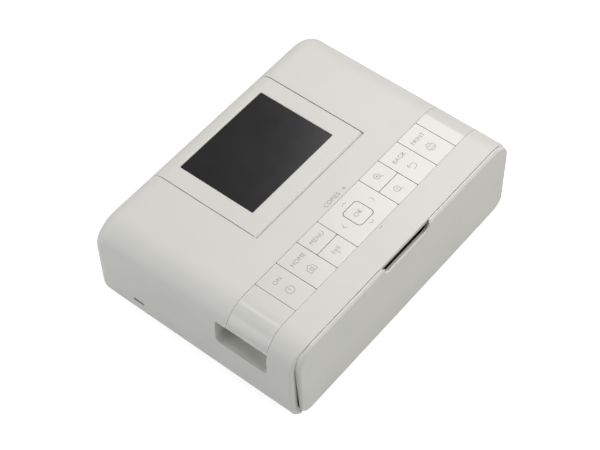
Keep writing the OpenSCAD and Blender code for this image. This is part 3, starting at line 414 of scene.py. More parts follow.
class PRINTER_OT_finishes(bpy.types.Operator):
    """Finishes of the plastics, metals, rubber, film, glass and boards"""
    bl_idname = "printer.finishes"
    bl_label = "Finishes"

    def execute(self, context):
        make_materials()
        return {"FINISHED"}


# Mesh tools

def fresh(name, mesh):
    """A new object in the scene."""
    piece = bpy.data.objects.new(name, mesh)
    bpy.context.scene.collection.objects.link(piece)
    return piece


def piece_of(name, bm):
    """Turns a bmesh in millimetres into an object in metres."""
    mesh = bpy.data.meshes.new(name)
    bmesh.ops.recalc_face_normals(bm, faces=bm.faces)
    bmesh.ops.scale(bm, vec=(MM, MM, MM), verts=bm.verts)
    bm.to_mesh(mesh)
    bm.free()
    return fresh(name, mesh)


def apply_modifiers(piece):
    """Makes the modifiers' result the piece's own mesh."""
    graph = bpy.context.evaluated_depsgraph_get()
    graph.update()
    mesh = bpy.data.meshes.new_from_object(piece.evaluated_get(graph))
    piece.modifiers.clear()
    old, piece.data = piece.data, mesh
    bpy.data.meshes.remove(old)
    mesh.name = piece.name
    return piece


def cut(piece, cutters, how="DIFFERENCE"):
    """Takes the cutters from a piece, or adds them to it, and deletes them."""
    for cutter in cutters:
        m = piece.modifiers.new("cut", "BOOLEAN")
        m.operation, m.object, m.solver = how, cutter, "EXACT"
    apply_modifiers(piece)
    for cutter in cutters:
        bpy.data.objects.remove(cutter)
    return piece


def join(piece, others):
    """Puts loose solids into one piece, each keeping its own surface."""
    bm = bmesh.new()
    bm.from_mesh(piece.data)
    for other in others:
        bm.from_mesh(other.data)
        bpy.data.objects.remove(other)
    bm.to_mesh(piece.data)
    bm.free()
    return piece


def finish_edges(piece, width, angle=38, segments=2):
    """Rounds the sharp edges of a piece and shades it smooth between them."""
    if width:
        bevel = piece.modifiers.new("edges", "BEVEL")
        bevel.width, bevel.segments = width * MM, segments
        bevel.limit_method, bevel.angle_limit = "ANGLE", math.radians(angle)
        bevel.use_clamp_overlap = True
        bevel.miter_outer = "MITER_ARC"
        apply_modifiers(piece)
    smooth(piece, angle)
    return piece


def smooth(piece, angle=38):
    """Shades a piece smooth, but for edges sharper than an angle."""
    mesh = piece.data
    mesh.shade_smooth()
    bm = bmesh.new()
    bm.from_mesh(mesh)
    limit = math.radians(angle)
    for edge in bm.edges:
        edge.smooth = len(edge.link_faces) == 2 and edge.calc_face_angle(math.pi) < limit
    bm.to_mesh(mesh)
    bm.free()
    weighted = piece.modifiers.new("normals", "WEIGHTED_NORMAL")
    weighted.keep_sharp, weighted.mode, weighted.weight = True, "FACE_AREA", 80
    apply_modifiers(piece)


def wear(piece, material, body, nodes=()):
    """Gives a finished piece its material and body, and hides the nodes it stands for."""
    piece.data.materials.clear()
    piece.data.materials.append(MATERIALS[material])
    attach(piece, body)
    if nodes:
        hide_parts(*nodes)
    return piece


def block(low, high, name="block"):
    """Box between its lowest and its highest corner."""
    bm = bmesh.new()
    bmesh.ops.create_cube(bm, size=1)
    for v in bm.verts:
        v.co = Vector([l + (c + 0.5) * (h - l) for l, h, c in zip(low, high, v.co)])
    return piece_of(name, bm)


def space(x0=-200, x1=200, y0=-200, y1=200, z0=-10, z1=90):
    """Box that reaches past the object on each side that isn't given."""
    return block((x0, y0, z0), (x1, y1, z1))


def arc(cx, cy, r, a0, a1, n):
    """Points on an arc from angle a0 to a1, in degrees, both ends included."""
    steps = [math.radians(a0 + (a1 - a0) * i / n) for i in range(n + 1)]
    return [(cx + r * math.cos(a), cy + r * math.sin(a)) for a in steps]


def rounded(x0, y0, x1, y1, radii, n=8):
    """Outline of a rectangle with one radius, or one for each corner from the lower left round."""
    if not isinstance(radii, tuple):
        radii = (radii,) * 4
    spots = ((x0, y0, 1, 1, 180), (x1, y0, -1, 1, 270), (x1, y1, -1, -1, 0), (x0, y1, 1, -1, 90))
    points = []
    for (x, y, sx, sy, a), r in zip(spots, radii):
        points += arc(x + sx * r, y + sy * r, r, a, a + 90, n) if r else [(x, y)]
    return points


PLANES = {
    "x": lambda u, v, w: (w, u, v),
    "y": lambda u, v, w: (u, w, v),
    "z": lambda u, v, w: (u, v, w),
}


def prism(outline, axis, w0, w1, name="prism"):
    """Solid from an outline in the plane across an axis, between two heights on that axis."""
    bm = bmesh.new()
    place = PLANES[axis]
    low = [bm.verts.new(place(u, v, w0)) for u, v in outline]
    high = [bm.verts.new(place(u, v, w1)) for u, v in outline]
    bm.faces.new(low)
    bm.faces.new(high[::-1])
    for i in range(len(outline)):
        j = (i + 1) % len(outline)
        bm.faces.new((low[i], high[i], high[j], low[j]))
    return piece_of(name, bm)


def rod(axis, u, v, r, w0, w1, n=32, name="rod"):
    """Round bar along an axis, at u and v across it."""
    return prism(arc(u, v, r, 0, 360 - 360 / n, n - 1), axis, w0, w1, name)


def plate(axis, sides, radii, w0, w1, n=8, name="plate"):
    """Rounded rectangle u0, v0, u1, v1 across an axis, between two heights on that axis."""
    return prism(rounded(*sides, radii, n), axis, w0, w1, name)


def grown(sides, d):
    """A rectangle's sides, moved out by d."""
    u0, v0, u1, v1 = sides
    return u0 - d, v0 - d, u1 + d, v1 + d


def lofted(rings, name):
    """Closed solid through rings of points with the same count; the end rings are capped."""
    bm = bmesh.new()
    verts = [[bm.verts.new(p) for p in ring] for ring in rings]
    n = len(rings[0])
    for a, b in zip(verts, verts[1:]):
        for i in range(n):
            j = (i + 1) % n
            bm.faces.new((a[i], a[j], b[j], b[i]))
    bm.faces.new(verts[0][::-1])
    bm.faces.new(verts[-1])
    return piece_of(name, bm)


def turned(profile, n, name):
    """Closed solid turned about z through pairs of a radius and a height."""
    angles = [math.tau * i / n for i in range(n)]
    return lofted([[(r * math.cos(a), r * math.sin(a), z) for a in angles] for r, z in profile],
                  name)


# Form of the housing

def ease(t):
    """Soft step from 0 to 1."""
    t = max(0.0, min(1.0, t))
    return t * t * (3 - 2 * t)


def body_ring(d, steps=(0, 24)):
    """Outline of the housing in x and z, moved in by d, with the outward direction at each point.

    steps holds the share of a step that the points are turned by, and the steps in a corner.
    Two outlines with other steps never share a line, so that one can be cut from the other.
    """
    hw, low, top = HALF_W - d, CASE_Z + d, TOP_Z - d
    rb, rt = mm("housing", "belly") - d, mm("housing", "shoulder") - d
    ring = []
    for cx, cz, r, a0 in ((hw - rb, low + rb, rb, -90), (hw - rt, top - rt, rt, 0),
                          (-hw + rt, top - rt, rt, 90), (-hw + rb, low + rb, rb, 180)):
        for i in range(25):
            a = math.radians(a0 + 90 * (i + steps[0]) / steps[1])
            n = (math.cos(a), math.sin(a))
            ring.append((cx + r * n[0], cz + r * n[1], n))
    return ring


def back_radius(n):
    """Radius of the back's edge where the outline faces n: side, top or bottom."""
    side = mm("housing", "back_side")
    end = mm("housing", "back_top" if n[1] > 0 else "back_low")
    return side + (end - side) * ease(abs(n[1]))


BEND_STEPS, BACK_STEPS = 8, 14
TOP_BEND = 0.35                 # radius of the front bend along the top


def front_rings(ring, y_front):
    """Rings of the front rim: far inside, turned in, then round the bend to the outline."""
    rings = [[(x - n[0] * 2 * LIP_IN, y_front + 3 * LIP_BACK, z - n[1] * 2 * LIP_IN)
              for x, z, n in ring]]
    bend = mm("housing", "bend")
    for i in range(-1, BEND_STEPS + 1):
        a = math.radians(90 - 90 * max(0, i) / BEND_STEPS)
        points = []
        for x, z, n in ring:
            side = ease(1.35 * abs(n[0]) - 0.2) if n[1] > -0.4 else 1
            r = TOP_BEND + (bend - TOP_BEND) * side
            back, inset = r * (1 - math.sin(a)), r * (1 - math.cos(a)) + (LIP_IN if i < 0 else 0)
            points.append((x - n[0] * inset, y_front + LIP_BACK * side + back,
                           z - n[1] * inset))
        rings.append(points)
    return rings


def body_form(d, y_front, bent, name="form"):
    """Closed form of the housing, moved in by d, from a bent or plain front to the back."""
    ring = body_ring(d, (0, 24) if bent else (0.5, 25))
    rings = front_rings(ring, y_front) if bent else [[(x, y_front, z) for x, z, n in ring]]
    for i in range(BACK_STEPS + 1):
        a = math.radians(90 * i / BACK_STEPS)
        points = []
        for x, z, n in ring:
            r = back_radius(n) - d
            inset = r * (1 - math.cos(a))
            points.append((x - n[0] * inset, BACK_Y - d - r * (1 - math.sin(a)), z - n[1] * inset))
        rings.append(points)
    return lofted(rings, name)


# Repeats, as node trees

class Repeat(Nodes):
    """Geometry nodes with named inputs, ending in Realize Instances and Set Material."""

    def __init__(self, name, inputs):
        super().__init__(bpy.data.node_groups.new(name, "GeometryNodeTree"))
        face = self.tree.interface
        face.new_socket("Geometry", in_out="INPUT", socket_type="NodeSocketGeometry")
        self.sockets = {label: face.new_socket(label, in_out="INPUT", socket_type=kind)
                        for label, kind in inputs.items()}
        face.new_socket("Geometry", in_out="OUTPUT", socket_type="NodeSocketGeometry")
        self.start = self.tree.nodes.new("NodeGroupInput")
        self.end = self.tree.nodes.new("NodeGroupOutput")

    def asked(self, label):
        """The socket that gives a named input."""
        return self.start.outputs[label]

    def copies(self, points, geometry):
        """Ends the tree with a copy of the geometry at each point."""
        placed = self.add("GeometryNodeInstanceOnPoints", {"Points": points, "Instance": geometry})
        self.close(placed.outputs[0])
        return self

    def template(self):
        """The geometry of the object that is asked for as the template."""
        return self.add("GeometryNodeObjectInfo",
                        {"Object": self.asked("Template")}).outputs["Geometry"]

    def close(self, geometry):
        """Makes the copies real and gives them their material."""
        real = self.add("GeometryNodeRealizeInstances", {"Geometry": geometry})
        dressed = self.add("GeometryNodeSetMaterial", {"Geometry": real.outputs[0],
                                                       "Material": self.asked("Material")})
        self.tree.links.new(dressed.outputs[0], self.end.inputs[0])

    def grow(self, name, **values):
        """Runs the tree and keeps its result as a plain piece."""
        piece = fresh(name, bpy.data.meshes.new(name))
        modifier = piece.modifiers.new("repeat", "NODES")
        modifier.node_group = self.tree
        for label, value in values.items():
            modifier[self.sockets[label.replace("_", " ")].identifier] = value
        apply_modifiers(piece)
        smooth(piece)
        return piece


def grid_tree():
    """Copies of a template at the crossings of a grid."""
    tree = Repeat("grid_of_copies", {
        "Template": "NodeSocketObject", "Width": "NodeSocketFloat", "Depth": "NodeSocketFloat",
        "Columns": "NodeSocketInt", "Rows": "NodeSocketInt", "Centre": "NodeSocketVector",
        "Material": "NodeSocketMaterial"})
    grid = tree.add("GeometryNodeMeshGrid", {
        "Size X": tree.asked("Width"), "Size Y": tree.asked("Depth"),
        "Vertices X": tree.asked("Columns"), "Vertices Y": tree.asked("Rows")})
    placed = tree.add("GeometryNodeTransform", {"Geometry": grid.outputs[0],
                                                "Translation": tree.asked("Centre")})
    return tree.copies(placed.outputs[0], tree.template())


def row_tree():
    """Copies of a template in a straight row."""
    tree = Repeat("row_of_copies", {
        "Template": "NodeSocketObject", "Count": "NodeSocketInt", "First": "NodeSocketVector",
        "Step": "NodeSocketVector", "Material": "NodeSocketMaterial"})
    line = tree.add("GeometryNodeMeshLine", {
        "Count": tree.asked("Count"), "Start Location": tree.asked("First"),
        "Offset": tree.asked("Step")})
    return tree.copies(line.outputs[0], tree.template())


def spring_tree():
    """Two coil springs, from a spiral and a round wire."""
    tree = Repeat("pair_of_springs", {
        "Turns": "NodeSocketFloat", "Radius": "NodeSocketFloat", "Wire": "NodeSocketFloat",
        "Height": "NodeSocketFloat", "Spread": "NodeSocketVector", "Foot": "NodeSocketVector",
        "Material": "NodeSocketMaterial"})
    spiral = tree.add("GeometryNodeCurveSpiral", {
        "Rotations": tree.asked("Turns"), "Start Radius": tree.asked("Radius"),
        "End Radius": tree.asked("Radius"), "Height": tree.asked("Height")}, Resolution=28)
    wire = tree.add("GeometryNodeCurvePrimitiveCircle", {"Radius": tree.asked("Wire")},
                    Resolution=10)
    coil = tree.add("GeometryNodeCurveToMesh", {
        "Curve": spiral.outputs[0], "Profile Curve": wire.outputs[0]}, Fill_Caps=True)
    pair = tree.add("GeometryNodeMeshLine", {
        "Start Location": tree.asked("Foot"), "Offset": tree.asked("Spread")}, Count=2)
    return tree.copies(pair.outputs[0], coil.outputs[0])


def repeat(tree, template, name, **values):
    """A piece of copies of a template, which is used up."""
    piece = tree.grow(name, Template=template, **values)
    bpy.data.objects.remove(template)
    return piece


def metres(*values):
    """The same place, from millimetres to metres."""
    return tuple(v * MM for v in values)


# Pieces of the housing

def notch():
    """Ends of the finger notch in x."""
    half = mm("cover", "notch_w") / 2
    return NOTCH_X - half, NOTCH_X + half


def shell(wall, name):
    """The housing's form as a hollow shell that is open at its front."""
    return cut(body_form(SKIN, RIM_Y, True, name), [body_form(wall, RIM_Y - 8, False)])


def back_profile(d, y0, z0):
    """Outline in y and z under the top and behind y0, moved in by d, with the rounded back."""
    r = mm("housing", "back_top") - d
    back, top = BACK_Y - d, TOP_Z - d
    foot = [(back, z0)] if z0 < top - r else []
    bend = [p for p in arc(back - r, top - r, r, 0, 90, 14) if p[1] > z0]
    return [(y0, z0)] + foot + bend + [(y0, top)]


def ledge():
    """Narrow ring behind the edge of the front cover."""
    outer, inner = [
        prism([(x, z) for x, z, n in body_ring(d, (0.3, 25.6))], "y", y0, y1, "ledge")
        for d, y0, y1 in ((LEDGE_OUT, LEDGE, LEDGE + LEDGE_T), (LEDGE_IN, LEDGE - 1, LEDGE + 3))]
    return cut(outer, [inner])


class PRINTER_OT_top_cover(bpy.types.Operator):
    """Upper housing with the display's well, the slot of the key strip and the openings"""
    bl_idname = "printer.top_cover"
    bl_label = "Top cover"

    def side_holes(self, wall):
        """Openings in the left side, and the ink door's in the right one."""
        y0, z0, y1, z1 = RECESS
        inside = HALF_W - wall - THROUGH
        return [
            plate("x", (y0, z0, y1, z1 + 0.001), (RECESS_R, RECESS_R, 0, 0), -HALF_W - PAST,
                  RECESS_X),
            plate("x", CARD_SLOT, 0, RECESS_X - 1, RECESS_X + 3),
            plate("x", DRIVE_PORT, 0, RECESS_X - 1, RECESS_X + 3),
            plate("x", LOCK_SLOT, 0.7, -HALF_W - 3, -HALF_W + wall + 1),
            block((inside, DOOR_LOW[1] - DOOR_GAP, DOOR_LOW[2] - DOOR_GAP),
                  (HALF_W + PAST, DOOR_PIVOT[1] - 0.6, DOOR_HIGH[2] + DOOR_GAP)),
            block((inside, DOOR_PIVOT[1] - 0.7, DOOR_LOW[2] - DOOR_GAP),
                  (HALF_W + PAST, DOOR_PIVOT[1] + 1.4, KNUCKLE))]

    def back_holes(self):
        """Paper slot, power inlet, battery cover's opening and vents."""
        after = BACK_Y + 3
        return [
            plate("y", PAPER_SLOT, 1, BACK_Y - DEEP, after),
            rod("y", *INLET, INLET_R, BACK_Y - DEEP, after, 40),
            plate("y", grown(BATTERY, BATTERY_GAP), 0.8, BACK_Y - THROUGH, after),
            *[plate("y", vent, 0.79, BACK_Y - THROUGH, after, 5) for vent in VENTS]]

    def execute(self, context):
        wall = mm("housing", "wall")
        piece = shell(wall, "housing_top")
        cut(piece, [space(z1=PARTING_Z)])
        well_x, well_y = PANEL_HIGH[0] + WELL_GAP, PANEL_LOW[1] - WELL_GAP
        y0, z0, y1, z1 = RECESS
        outer_r = RECESS_R + RECESS_WALL
        cut(piece, [
            prism(back_profile(wall / 2, well_y - WELL_WALL, WELL_FLOOR - WELL_WALL), "x",
                  -well_x - WELL_WALL, well_x + WELL_WALL),
            plate("x", (y0 - RECESS_WALL, z0 - RECESS_WALL, y1 + RECESS_WALL, z1 + 1.2),
                  (outer_r, outer_r, 0, 0), -HALF_W + wall / 2, RECESS_X + RECESS_WALL),
            rod("z", *DOOR_PIVOT, wall / 2, KNUCKLE, KNUCKLE + 4, 20)], "UNION")
        rim = cut(ledge(), [space(z1=PARTING_Z),
                            space(x0=-HALF_W + LEDGE_SIDE, x1=HALF_W - LEDGE_SIDE, z0=0)])
        cut(piece, [rim], "UNION")
        well = block((-well_x, well_y, WELL_FLOOR), (well_x, BACK_Y + PAST, TOP_Z + PAST))
        strip = block((-HALF_W - PAST, STRIP_Y - STRIP_EDGE, z1),
                      (HALF_W + PAST, STRIP_BACK + STRIP_EDGE, TOP_Z + PAST))
        cut(piece, [well, strip] + self.side_holes(wall) + self.back_holes())
        finish_edges(piece, mm("housing", "edge"))
        wear(piece, "shell", "housing", ["top_cover"])
        return {"FINISHED"}


class PRINTER_OT_base(bpy.types.Operator):
    """Lower housing with the ears of the front cover's hinge"""
    bl_idname = "printer.base"
    bl_label = "Base"

    def execute(self, context):
        wall = mm("housing", "wall")
        top, floor = PARTING_Z - 0.2, CASE_Z + wall
        y, z = COVER_PIVOT
        piece = shell(wall, "housing_base")
        cut(piece, [space(z0=top)])
        room = [block((-LIP_X, RIM_Y - 3, -5), (LIP_X, y - 0.5, 20))]
        added = [block((-FLOOR_RIB, y + 0.6, floor - 1), (FLOOR_RIB, y + 2.2, floor + 1.8))]
        holes = []
        for s in (-1, 1):
            arm, ear = s * ARM_X, s * EAR_X
            room.append(block((arm - ARM_T - 0.4, RIM_Y - 3, -5),
                              (arm + ARM_T + 0.4, y + 2.5, 20)))
            added.append(rod("x", y, z, EAR_R, ear - EAR_T, ear + EAR_T, 36))
            added.append(block((ear - EAR_T, y, floor - 1), (ear + EAR_T, y + 5, z)))
            holes.append(rod("x", y, z, COVER_BORE, ear - 3, ear + 3, 28))
            for foot, post in zip(FOOT_Y, POST_Y):
                holes.append(rod("z", s * FOOT_X, foot, FOOT_HOLE, 0, CASE_Z + 0.6, 40))
                holes.append(rod("z", s * POST_X, post, POST_HOLE, 0, CASE_Z + 1.9, 28))
        cut(piece, room)
        added.append(cut(ledge(), [space(z0=top), space(x0=-LIP_X - 0.2, x1=LIP_X + 0.2)]))
        cut(piece, added, "UNION")
        cut(piece, holes)
        finish_edges(piece, mm("housing", "edge"))
        wear(piece, "shell", "housing", ["bottom_case"])
        return {"FINISHED"}


# Radius and height, in millimetres, up the foot and up the screw
FOOT_PROFILE = ((3.2, 0.35), (3.5, 0.12), (4.2, 0), (5.2, 0), (5.75, 0.2), (5.95, 0.7),
                (5.95, 3.55))
SCREW_PROFILE = ((1.9, 3.22), (2.35, 3.4), (2.58, 3.8), (2.58, 4.75), (1.22, 4.75), (1.22, 15.9))


class PRINTER_OT_feet_and_screws(bpy.types.Operator):
    """Rubber feet and cross-head screws under the base"""
    bl_idname = "printer.feet_and_screws"
    bl_label = "Feet and screws"

    def execute(self, context):
        grid = grid_tree()
        foot = turned(FOOT_PROFILE, 48, "foot")
        screw = turned(SCREW_PROFILE, 32, "screw")
        cut(screw, [block((-1.4, -0.3, 2), (1.4, 0.3, 4.2)),
                    block((-0.3, -1.4, 2), (0.3, 1.4, 4.2))])
        for template, name, x, (y0, y1), material, node in (
                (foot, "feet", FOOT_X, FOOT_Y, "rubber", "rubber_feet"),
                (screw, "case_screw_set", POST_X, POST_Y, "steel", "case_screws")):
            piece = repeat(grid, template, name, Width=2 * x * MM, Depth=(y1 - y0) * MM, Columns=2,
                           Rows=2, Centre=metres(0, (y0 + y1) / 2, 0),
                           Material=MATERIALS[material])
            wear(piece, material, "housing", [node])
        return {"FINISHED"}


class PRINTER_OT_front_cover(bpy.types.Operator):
    """Drop-down front cover with a soft edge and a finger notch"""
    bl_idname = "printer.front_cover"
    bl_label = "Front cover"

    def outline(self):
        """Points round the cover in x and z with their outward directions."""
        hw, low_hw = COVER_HIGH[0] - 0.02, COVER_HIGH[0] - 1.02
        r, lr = mm("cover", "corner"), mm("cover", "low_corner")
        top, low = TOP_Z - SKIN, COVER_LINE
        points = []
        for cx, cz, rad, a0 in ((low_hw - lr, low + lr, lr, -90), (hw - r, top - r, r, 0),
                                (-hw + r, top - r, r, 90), (-low_hw + lr, low + lr, lr, 180)):
            for i in range(21):
                a = math.radians(a0 + 90 * i / 20)
                n = (math.cos(a), math.sin(a))
                points.append((cx + rad * n[0], cz + rad * n[1], n))
        return points

    def panel(self, face, back):
        """The cover's plate, rounded to its face."""
        reach, side_reach = mm("cover", "edge"), mm("cover", "side_edge")
        ring = self.outline()
        rings = [[(x, back + (LIP_BACK + 0.3) * ease(abs(n[0]) * 2 - 0.7) * (z > 20), z)
                  for x, z, n in ring]]
        for i in range(11):
            a = math.radians(9 * i)
            points = []
            for x, z, n in ring:
                side = reach + (side_reach - reach) * ease(abs(n[0]) * 1.2 - 0.2)
                inset, depth = side * (1 - math.cos(a)), min(side, back - face - 0.1)
                points.append((x - n[0] * inset, face + depth * (1 - math.sin(a)),
                               z - n[1] * inset))
            rings.append(points)
        return lofted(rings, "front_door")

    def notch_edge(self, grow, lip):
        """Outline of the finger notch above its lip, moved out by grow."""
        x0, x1 = notch()
        corner = NOTCH_CORNER + grow
        return rounded(x0 - grow, lip - grow, x1 + grow, TOP_Z + PAST, (corner, corner, 0.1, 0.1))

    def notch_form(self, face, lip):
        """What the finger notch takes away, widening to the face."""
        rings = []
        for i in range(-1, 9):
            a = math.radians(90 * max(0, i) / 8)
            grow, y = NOTCH_SOFT * (1 - math.sin(a)), face + NOTCH_SOFT * (1 - math.cos(a))
            y = face - 3 if i < 0 else y if i < 8 else NOTCH_BACK
            rings.append([(x, y, z) for x, z in self.notch_edge(grow, lip)])
        return lofted(rings, "notch")

    def inner_side(self, back):
        """Ring of ribs, hinge arms with their pins and snap hooks behind the face."""
        hw, low, top = COVER_HIGH[0] - 6, COVER_LINE + 6, TOP_Z - 6
        ring = plate("y", (-hw + 1, low, hw - 1, top), (3, 3, 7, 7), back, back + 3)
        cut(ring, [plate("y", (-hw + 2.6, low + 1.6, hw - 2.6, top - 1.6), (2, 2, 5.5, 5.5),
                         back - 1, back + 4)])
        added = []
        for s in (-1, 1):
            arm, hook = s * ARM_X, s * COVER_HIGH[0] * 0.62
            pin = sorted((arm, arm + s * 7))
            added.append(block((arm - ARM_T, back, COVER_LINE + 1),
                               (arm + ARM_T, COVER_PIVOT[0], 14)))
            added.append(rod("x", *COVER_PIVOT, ARM_R, arm - ARM_T, arm + ARM_T, 32))
            added.append(rod("x", *COVER_PIVOT, COVER_PIN, *pin, 28))
            added.append(block((hook - 4, back, TOP_Z - 5.8), (hook + 4, back + 4, TOP_Z - 4.4)))
        return cut(ring, added, "UNION")

    def execute(self, context):
        face, back = FRONT_Y + SKIN, RIM_Y - 0.4
        x0, x1 = notch()
        lip = TOP_Z - mm("cover", "notch_d")
        piece = self.panel(face, back)
        cut(piece, [
            self.notch_form(face, lip),
            plate("y", (x0 - 1, lip - 1.6, x1 + 1, TOP_Z + PAST),
                  (NOTCH_CORNER + 1, NOTCH_CORNER + 1, 0.1, 0.1), face + NOTCH_LIP, NOTCH_BACK)])
        finish_edges(piece, 0.3, 50, 3)
        inside = self.inner_side(back)
        cut(inside, [plate("y", (x0 - 1, lip - 6, x1 + 1, TOP_Z + PAST), (2, 2, 0, 0), back,
                           NOTCH_BACK + 10)])
        finish_edges(inside, 0.15)
        join(piece, [inside])
        wear(piece, "shell", "front_cover_body", ["front_cover"])
        return {"FINISHED"}


class PRINTER_OT_display_panel(bpy.types.Operator):
    """Tilting display panel, hollow underneath, with its window opening"""
    bl_idname = "printer.display_panel"
    bl_label = "Display panel"

    def execute(self, context):
        nose, wall = mm("display", "nose"), mm("display", "wall")
        hw, y0, low = PANEL_HIGH[0], PANEL_LOW[1], PANEL_LOW[2]
        axis = (y0 + nose, TOP_Z - SKIN - nose)
        section = [(axis[0], low)] + arc(*axis, nose, 270, 90, 16) + \
            back_profile(SKIN, axis[0], low)[:0:-1]
        piece = prism(section, "x", -hw, hw, "display_frame")
        y1, roof = axis[0] + nose, TOP_Z - wall
        cavity = [(y1, low - 0.5 + wall)] + back_profile(wall, y1, low + wall)[1:]
        cavity_back = BACK_Y - (mm("housing", "back_top") - wall) + 2.2 - wall
        opening = grown((*GLASS_LOW[:2], *GLASS_HIGH[:2]), 0.1)
        cut(piece, [prism(cavity, "x", -hw + wall, hw - wall),
                    block((-hw + wall, y1, low - 1), (hw - wall, cavity_back, roof - 2)),
                    plate("z", opening, 0.7, roof - 1, TOP_Z + 2, 4)])
        finish_edges(piece, mm("display", "edge"), 40, 3)
        wear(piece, "shell", "screen", ["screen_frame"])
        return {"FINISHED"}


class PRINTER_OT_display_window(bpy.types.Operator):
    """Dark window of the display, with a bevelled edge"""
    bl_idname = "printer.display_window"
    bl_label = "Display window"

    def execute(self, context):
        piece = plate("z", (*GLASS_LOW[:2], *GLASS_HIGH[:2]), 0.6, GLASS_LOW[2], GLASS_HIGH[2], 4,
                      "display_cover_glass")
        finish_edges(piece, mm("display", "glass_edge"), 40, 2)
        wear(piece, "glass", "screen", ["display_glass"])
        return {"FINISHED"}


class PRINTER_OT_strip_ends(bpy.types.Operator):
    """Glossy ends of the key strip over the shoulders, with the tray under the keys"""
    bl_idname = "printer.strip_ends"
    bl_label = "Strip ends"

    def execute(self, context):
        wall = mm("housing", "wall")
        y0, y1 = STRIP_Y - STRIP_EDGE + 0.2, STRIP_BACK + STRIP_EDGE - 0.2
        x1 = node_box("print_key")[1][0] + 0.3
        piece = shell(wall, "strip_shoulders")
        cut(piece, [space(y1=y0), space(y0=y1), space(z1=STRIP_LOW),
                    space(x0=-x1, x1=x1, z0=KEY_Z - 5)])
        added = [
            block((-x1 - 2.7, y0 + 0.8, WELL_FLOOR - 0.7), (x1 + 2.7, y1 - 0.8, WELL_FLOOR + 0.5)),
            block((-HALF_W + 1.1, y0, STRIP_LOW), (RECESS_X + 1.5, y1, STRIP_LOW + 1.3))]
        for s in (-1, 1):
            x = s * (x1 + 2.1)
            added.append(block((x - 1.5, y0 + 0.8, WELL_FLOOR),
                               (x + 1.5, y1 - 0.8, TOP_Z - wall + 0.4)))
        cut(piece, added, "UNION")
        finish_edges(piece, 0.2)
        wear(piece, "key", "housing", ["key_frame"])
        return {"FINISHED"}


KEY_NAMES = ("power", "home", "menu", "wireless", "zoom_in", "zoom_out", "back", "print")


class PRINTER_OT_keys(bpy.types.Operator):
    """Key caps with rounded edges, the navigation key and the square key inside it"""
    bl_idname = "printer.keys"
    bl_label = "Keys"

    def cap(self, name, node, body, hole=None, corner=None, stem=True):
        """A cap in the place of a key's node, with a round stem down to the mat."""
        (x0, y0, z0), (x1, y1, z1) = node_box(node)
        low = KEY_Z - CAP_T
        piece = plate("z", (x0, y0, x1, y1), corner or mm("keys", "corner"), low, z1 - SKIN, 4,
                      name)
        if hole:
            cut(piece, [prism(hole, "z", low - 1, z1 + 1)])
        finish_edges(piece, mm("keys", "edge"), 50, 2)
        if stem:
            join(piece, [rod("z", (x0 + x1) / 2, (y0 + y1) / 2, STEM_R, z0, low + 0.2, 24)])
        smooth(piece)
        wear(piece, "key", body, [node])

    def execute(self, context):
        for key in KEY_NAMES:
            self.cap("cap_" + key, key + "_key", key + "_key_body")
        (x0, y0, _), (x1, y1, _) = node_box("ok_key")
        corner = 2.0
        hole = rounded(*grown((x0, y0, x1, y1), OK_GAP), corner + OK_GAP)
        self.cap("cap_navigation", "nav_key", "nav_key_body", hole, stem=False)
        self.cap("cap_ok", "ok_key", "ok_key_body", corner=corner)
        return {"FINISHED"}


# Words and symbols printed on the keys

def word(text, x, y, height, name):
    """A printed word centred at x and y, as a thin closed mesh."""
    curve = bpy.data.curves.new(name, "FONT")
    curve.body = text
    curve.size = height / 0.70      # capitals are 0.70 of the type's size
    curve.align_x, curve.align_y = "CENTER", "CENTER"
    curve.offset = -0.012 * curve.size
    curve.resolution_u = 4
    curve.space_character = 1.05
    holder = fresh(name + "_text", curve)
    bpy.context.view_layer.update()
    flat = bpy.data.meshes.new_from_object(holder)
    bpy.data.objects.remove(holder)
    bm = bmesh.new()
    bm.from_mesh(flat)
    bpy.data.meshes.remove(flat)
    bmesh.ops.remove_doubles(bm, verts=bm.verts, dist=0.001)
    raised = bmesh.ops.extrude_face_region(bm, geom=bm.faces[:])
    for v in raised["geom"]:
        if isinstance(v, bmesh.types.BMVert):
            v.co.z += PRINT_T
    for v in bm.verts:
        v.co += Vector((x, y, PRINT_Z))
    return piece_of(name, bm)


def line(bm, points, width, closed=False):
    """Adds a thin band that follows the points, with mitred turns."""
    n = len(points)
    pts = [Vector(p) for p in points]
    sides = []
    for i in range(n):
        a = pts[i - 1] if i or closed else None
        b = pts[(i + 1) % n] if i < n - 1 or closed else None
        before = (pts[i] - a).normalized() if a is not None else None
        after = (b - pts[i]).normalized() if b is not None else None
        d = ((before or after) + (after or before)).normalized()
        across = Vector((-d.y, d.x))
        base = before or after
        reach = width / 2 / max(0.5, across.dot(Vector((-base.y, base.x))))
        sides.append((pts[i] + across * reach, pts[i] - across * reach))
    rows = [[bm.verts.new((p.x, p.y, z)) for p in pair for z in (PRINT_Z, PRINT_Z + PRINT_T)]
            for pair in sides]
    spans = list(zip(rows, rows[1:])) + ([(rows[-1], rows[0])] if closed else [])
    for (a0, a1, b0, b1), (c0, c1, d0, d1) in spans:
        bm.faces.new((a1, b1, d1, c1))
        bm.faces.new((a0, c0, d0, b0))
        bm.faces.new((a0, a1, c1, c0))
        bm.faces.new((b0, d0, d1, b1))
    if not closed:
        for r in (rows[0], rows[-1]):
            bm.faces.new((r[0], r[1], r[3], r[2]))


def circle(x, y, r, n=28):
    """Points of a full circle, the last not repeated."""
    return arc(x, y, r, 0, 360, n)[:-1]


LENS = [(circle(-0.5, 0.5, 1.7), True), ([(0.75, -0.75), (2.2, -2.2)], False),
        ([(-1.3, 0.5), (0.3, 0.5)], False)]

